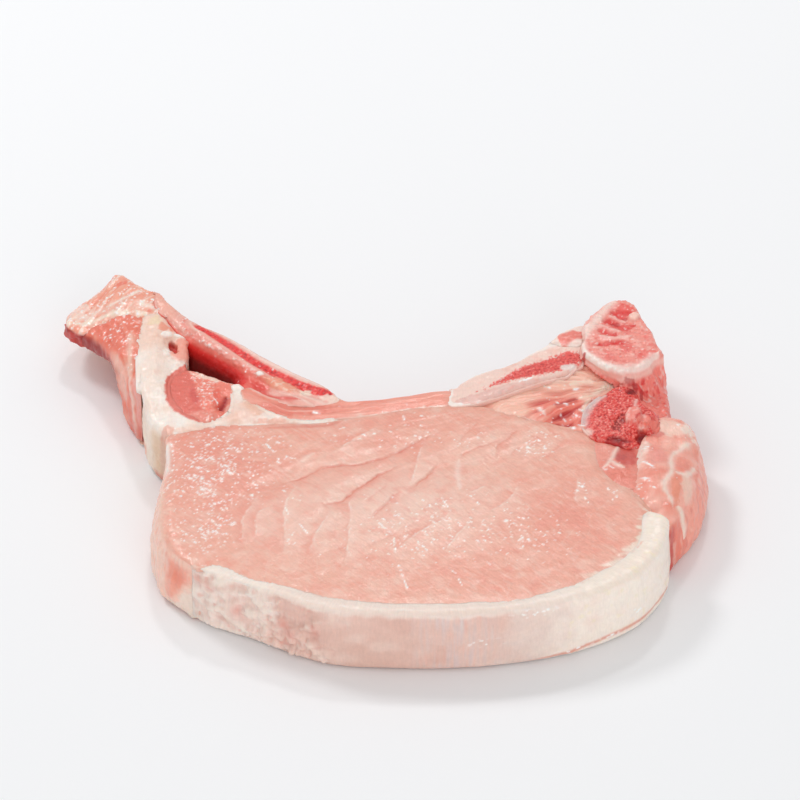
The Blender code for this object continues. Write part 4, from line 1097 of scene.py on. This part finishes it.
def dress_round(skin):
    """Two lobes of dark muscle, the right one grainy, with a slit beside it."""
    skin.base((229, 114, 100))
    skin.seam *= ramp(skin.x, -44.5, -43)
    skin.bumps(1, (0.2, 3, 1, 2), (0.07, 0.9, 3))
    skin.dab((216, 92, 84), 0.8, (-47, 23.6), (1.3, 3), 0.3)
    right = step_up((skin.x + 46.6 + 0.25 * (skin.y - 24) + 0.8 * skin.noise(3, 5)) / 1.2)
    skin.paint((243, 136, 118), 0.95 * right)
    skin.dab((236, 146, 130), 0.9, (-45.5, 15.6), (6, 2))
    skin.dab((240, 112, 96), 0.8, (-41.4, 22.6), (1.4, 3.6))
    speck = skin.noise(0.8, 7, 2)
    skin.fleck((250, 206, 194), 0.85 * right * ramp(skin.x, -41.5, -43.5), speck, 2, -0.4)
    skin.rise += right * 0.1 * speck
    # The slit between the lobes: dark red, the muscle's colour with painted shade of the gap.
    skin.draw((176, 30, 34), 0.95, [(-39.2, 24.6), (-39.4, 22), (-40.8, 19.2)], 0.75, height=-0.6)
    skin.dab((240, 176, 160), 0.8, (-38.2, 18.8), (1.4, 2.6))
    skin.dab((246, 222, 206), 0.8, (-43.8, 31.6), (4.2, 1.1), 0.5, -25)
    skin.glints(0.02 + 0.8 * right * ramp(skin.x, -40.4, -41.9), 58, 0.75)
    skin.meets("ridge_fat", (245, 206, 190), 0.5, 1, 0.7 * ramp(skin.x, -44.5, -43))
    skin.beads += 0.2 + 0.4 * right


def dress_end(skin):
    """The flap's end: streaked muscle with a band of cream fat across it."""
    x, y = skin.x, skin.y
    turned = np.column_stack([x * 0.6 + y * 0.8 + 0.8 * skin.noise(5, 1), y * 0.6 - x * 0.8])
    skin.grain = np.column_stack([turned, skin.z])
    streak = layered(turned, (8, 1.5), 3, 3)
    skin.base((242, 166, 142))
    skin.rise += 0.25 * skin.noise(3.5, 5, 2) + 0.12 * streak
    skin.fleck((236, 138, 116), 0.8, streak, -1.3)
    skin.fleck((245, 222, 208), 0.8, streak, 1.4, -0.2)
    skin.dab((246, 220, 207), 0.7, (-77.2, 63.4), (3.4, 4), 0.6)
    skin.draw((246, 220, 207), 0.35, [(-78, 62), (-72, 61.6), (-66, 60.8), (-60, 59)], 2.2, 0.5)
    skin.dab((236, 118, 96), 0.8, (-66.4, 70), (1.8, 1.2), 0.4)
    for line, width in (([(-62.6, 61), (-57.3, 58.5), (-53.8, 54.9)], 0.8),
            ([(-70, 62.4), (-65, 63.6), (-61.4, 66)], 0.6)):
        skin.draw(CREAM, 0.8, line, width)
    middle = [(-80, 60), (-75, 58.8), (-68.5, 58.8), (-63.3, 57.6), (-57, 55.5)]
    band, _, _ = to_line(x, y, curve_through(middle))
    skin.paint((246, 226, 208), 0.85 * ramp(band - 1 * skin.noise(2.6, 7, 2), 1.5, 0.1) * skin.top)
    # The side under the lifted tip: dark red with darker flecks, partly the muscle's own colour and partly
    # painted shade of the undercut.
    side = skin.side * ramp(skin.z, 12.5, 11) * ramp(x, -62, -65) * (y < 62)
    skin.paint((198, 72, 68), 0.95 * side)
    skin.fleck((158, 34, 36), 0.9 * side, skin.noise((3, 3, 1.5), 9, 2), -1.6)
    skin.rise += side * 0.5 * skin.noise((2.5, 2.5, 1.6), 13, 2)
    skin.fleck((240, 196, 184), 0.7 * side, skin.noise((4, 4, 1.2), 11, 2), 1.6, -0.4)
    skin.glints(0.45, 60, 0.8)
    skin.glints(0.35, 61, 0.6, 0.06)
    skin.beads += 0.25


def dress_flap(skin):
    """Dark muscle on the flap's side: glistening above with painted highlights, fibres running down the side,
    painted shade under its lifted edge.
    """
    x, y, z = skin.x, skin.y, skin.z
    skin.grain = np.column_stack([y + 0.2 * x, z * 0.2 + y * 0.15, x])
    along = np.column_stack([x + 0.3 * y, y * 0.5 + z])
    streak = layered(along, (1.3, 9), 3, 3)
    skin.base((237, 128, 106))
    skin.rise += 0.3 * skin.noise(3, 1, 2) + 0.12 * streak
    skin.fleck((232, 118, 98), 0.6, streak, -1.3)
    skin.fleck((244, 176, 154), 0.5, streak, 1.5, -0.2)
    inner = step_up((x + 62 + 0.12 * (z - 8)) / 0.8) * ramp(y, 34, 31)
    skin.paint((242, 164, 152), 0.95 * inner)
    skin.fleck((240, 190, 178), 0.6 * inner, streak, 1.8, -0.3)
    seam = np.exp(-((x + 62.3 + 0.12 * (z - 8) + 0.3 * skin.noise(2, 5)) / 0.45)**2) * ramp(y, 44, 40)
    skin.paint((244, 210, 196), 0.85 * seam)
    skin.rise += 0.2 * seam
    skin.draw((243, 196, 178), 0.8, [(-63.2, 50), (-63.6, 44), (-63.4, 38), (-62.8, 34)], 0.8)
    skin.paint((250, 198, 180), 0.75 * skin.side * ramp(y, 47, 42) * ramp(z, 5, 9) * ramp(x, -63.5, -64.5))
    low = ramp(z, 7, 3) * skin.side * ramp(y, 34, 30)
    skin.paint((218, 108, 98), 0.55 * low)
    # Painted shade on the side under the lifted edge: dark red, nearly black low down, with paler flecks.
    shade_under = skin.side * ramp(z, 13.5, 11) * ramp(y, 39, 44)
    skin.paint((162, 44, 46), 0.95 * shade_under)
    skin.paint((110, 22, 26), 0.8 * shade_under * ramp(z, 8, 4))
    skin.fleck((228, 130, 120), 0.7 * shade_under, skin.noise((2.5, 2.5, 1.4), 7, 2), 1.8, -0.8)
    skin.glints(0.16 + 0.22 * ramp(y, 44, 48), 62, 0.8)
    skin.glints(0.16 + 0.16 * ramp(y, 44, 48), 63, 0.6, 0.06)
    skin.beads += 0.5 * skin.top + 0.2


# ---------------------------------------------------------------- materials

def add_node(tree, kind, inputs, operation=None):
    """A shader node. Each input is set to a value or linked to the output of another node."""
    made = tree.nodes.new("ShaderNode" + kind)
    if operation:
        made.operation = operation
    for name, value in inputs.items():
        if isinstance(value, bpy.types.NodeSocket):
            tree.links.new(value, made.inputs[name])
        else:
            made.inputs[name].default_value = value
    return made


def attribute(tree, name, output):
    made = add_node(tree, "Attribute", {})
    made.attribute_name = name
    return made.outputs[output]


def math_node(tree, operation, *values):
    return add_node(tree, "Math", dict(enumerate(values)), operation).outputs[0]


def scaled(tree, vector, scale):
    return add_node(tree, "VectorMath", {0: vector, "Scale": scale}, "SCALE").outputs["Vector"]


def noise_node(tree, vector, scale, detail, roughness):
    values = {"Vector": vector, "Scale": scale, "Detail": detail, "Roughness": roughness}
    return add_node(tree, "TexNoise", values).outputs["Fac"]


def meat_material(name, roughness=0.42, coat=0.4, coat_roughness=0.10, grain_height=0.05, bead_height=0.3,
                  scatter=0.3, scatter_radius=(1.0, 0.35, 0.25)):
    """Moist tissue: painted colour, fine fibres across the grain, beads of moisture, light that seeps in."""
    fibre_scale = 1 / 0.7
    bead_size = 1.3
    tint_depth = 0.16
    material = bpy.data.materials.new(name)
    material.use_nodes = True
    tree = material.node_tree
    tree.nodes.clear()
    place = scaled(tree, add_node(tree, "TexCoord", {}).outputs["Object"], 1 / MM)

    grain = attribute(tree, "grain", "Vector")
    grain = add_node(tree, "Mapping", {"Vector": grain, "Scale": (1.6, 0.3, 0.6)}).outputs["Vector"]
    fibres = noise_node(tree, grain, fibre_scale, 2.0, 0.6)
    specks = noise_node(tree, place, 1.1, 3.0, 0.65)
    light, speckle = (math_node(tree, "MULTIPLY_ADD", source, tint_depth, 1 - tint_depth / 2)
                      for source in (fibres, specks))
    shade = math_node(tree, "MULTIPLY", light, speckle)
    colour = scaled(tree, attribute(tree, "paint", "Color"), shade)

    drops = add_node(tree, "TexVoronoi", {"Vector": place, "Scale": 1 / bead_size, "Randomness": 1.0})
    drops.feature = "SMOOTH_F1"
    drops.inputs["Smoothness"].default_value = 0.15
    dome = math_node(tree, "SUBTRACT", 0.5, drops.outputs["Distance"])
    dome.node.use_clamp = True
    dome = math_node(tree, "POWER", dome, 1.5)
    dome = math_node(tree, "MULTIPLY", dome, attribute(tree, "beads", "Fac"))
    fibre_height = math_node(tree, "MULTIPLY", fibres, grain_height)
    speck_height = math_node(tree, "MULTIPLY", specks, grain_height * 2)
    height = math_node(tree, "ADD", math_node(tree, "MULTIPLY", dome, bead_height),
                       math_node(tree, "ADD", fibre_height, speck_height))
    bump = add_node(tree, "Bump", {"Strength": 1.0, "Distance": MM, "Height": height}).outputs["Normal"]

    shader = add_node(tree, "BsdfPrincipled", {
        "Base Color": colour, "Roughness": roughness, "Normal": bump, "Coat Normal": bump,
        "Coat Weight": coat, "Coat Roughness": coat_roughness, "Subsurface Weight": scatter,
        "Subsurface Radius": scatter_radius, "Subsurface Scale": 1.6 * MM})
    add_node(tree, "OutputMaterial", {"Surface": shader.outputs["BSDF"]})
    return material


# ---------------------------------------------------------------- pieces

def dress_back(skin):
    """Walls that face away from the back fat: a thin skin of tissue over meat and bone, in patches."""
    back = skin.side * step_up(skin.normal[:, 1] / 0.3) * ramp(skin.gap, 0.8, 1.4)
    sheet = skin.noise((6, 6, 2.6), 95, 2)
    skin.rise += back * (0.30 * sheet + 0.08 * skin.noise((1.4, 1.4, 3), 97, 2))
    skin.fleck((247, 220, 208), 0.55 * back, sheet, 1.6, -0.1)
    skin.fleck((226, 132, 118), 0.45 * back, sheet, -1.6, -0.2)
    skin.fleck((206, 92, 84), 0.40 * back, skin.noise((3, 3, 1.6), 98, 2), 1.8, -0.9)


def dress_all():
    lean = meat_material("lean")
    fat = meat_material("fat", roughness=0.5, coat=0.3, coat_roughness=0.2, grain_height=0.02,
        bead_height=0.12, scatter=0.4, scatter_radius=(1.0, 0.7, 0.55))
    bone = meat_material("bone", roughness=0.5, coat=0.4, grain_height=0.05, scatter=0.15)
    plan = [
        ("eye_muscle", dress_eye, lean, "lean", EYE_VOXEL),
        ("fat_cap", dress_fat_cap, fat, "fat", EYE_VOXEL),
        ("lobe_muscle", dress_lobe, lean, "lean", VOXEL),
        ("oval_muscle", dress_oval, lean, "dark_lean", VOXEL),
        ("arch_bone", dress_arch, bone, "spongy_bone", BONE_VOXEL),
        ("vertebra_bone", dress_vertebra, bone, "bone", BONE_VOXEL),
        ("disc_cartilage", dress_disc, fat, "cartilage", VOXEL),
        ("near_rib_bone", dress_near_rib, bone, "bone", BONE_VOXEL),
        ("strand_muscle", dress_strands, lean, "lean", VOXEL),
        ("strip_muscle", dress_strip, lean, "lean", VOXEL),
        ("far_rib_bone", dress_far_rib, bone, "bone", VOXEL),
        ("ridge_fat", dress_ridge_fat, fat, "fat", VOXEL),
        ("round_muscle", dress_round, lean, "dark_lean", VOXEL),
        ("end_muscle", dress_end, lean, "lean", VOXEL),
        ("flap_muscle", dress_flap, lean, "dark_lean", VOXEL),
    ]
    for name, dress, material, slot, voxel in plan:
        skin = Skin(name, voxel)
        skin.close_seams()
        dress(skin)
        # Rims beside a gap are painted pale: painted light that cancels the shade of the gap between pieces.
        skin.paint(GAP_FILL_LIGHT, skin.seam * ramp(skin.gap, 0.75, 0.25) * step_up((skin.normal[:, 2] - 0.1) / 0.3))
        dress_back(skin)
        skin.finish(material)


# ---------------------------------------------------------------- camera, floor, light

CAMERA_PLACE = (3.6, -1384.48, 1116.088)
CAMERA_TILT = 52.0
LENS = 326.25
SENSOR = 36.0
AIM = Vector((0.0, -0.005, 0.01))


def add_camera():
    data = bpy.data.cameras.new("camera")
    data.lens = LENS
    data.sensor_width = SENSOR
    data.clip_start = 0.05
    camera = add_object("camera", data, (Vector(CAMERA_PLACE) + Vector(PLAN)) * MM)
    camera.rotation_euler = (math.radians(CAMERA_TILT), 0, 0)
    bpy.context.scene.camera = camera


def add_floor():
    data = bpy.data.meshes.new("floor")
    data.from_pydata([(-3, -3, 0), (3, -3, 0), (3, 3, 0), (-3, 3, 0)], [], [(0, 1, 2, 3)])
    floor = add_object("floor", data, (0, 0, -0.0002))
    material = bpy.data.materials.new("floor")
    material.use_nodes = True
    shader = material.node_tree.nodes["Principled BSDF"]
    shader.inputs["Base Color"].default_value = (0.911, 0.924, 0.945, 1)
    shader.inputs["Roughness"].default_value = 0.8
    data.materials.append(material)


def add_light(name, place, size, power):
    data = bpy.data.lights.new(name, "AREA")
    data.shape = "DISK"
    data.size = size
    data.energy = power
    light = add_object(name, data, place)
    light.rotation_euler = (AIM - light.location).to_track_quat("-Z", "Y").to_euler()


def add_studio():
    scene = bpy.context.scene
    scene.view_settings.view_transform = "Standard"
    scene.view_settings.look = "None"
    world = bpy.data.worlds.new("studio")
    world.use_nodes = True
    background = world.node_tree.nodes["Background"]
    background.inputs["Color"].default_value = (1.0, 0.99, 0.98, 1)
    background.inputs["Strength"].default_value = 0.655
    scene.world = world
    add_light("key", Vector((-0.62, 0.62, 0.95)), 0.30, 4.0)
    add_light("back_box", Vector((0.06, 0.72, 1.03)), 0.14, 1.8)
    add_light("front_fill", Vector((0.35, -1.45, 0.5)), 1.2, 6.0)
    add_floor()


add_camera()
add_studio()
dress_all()
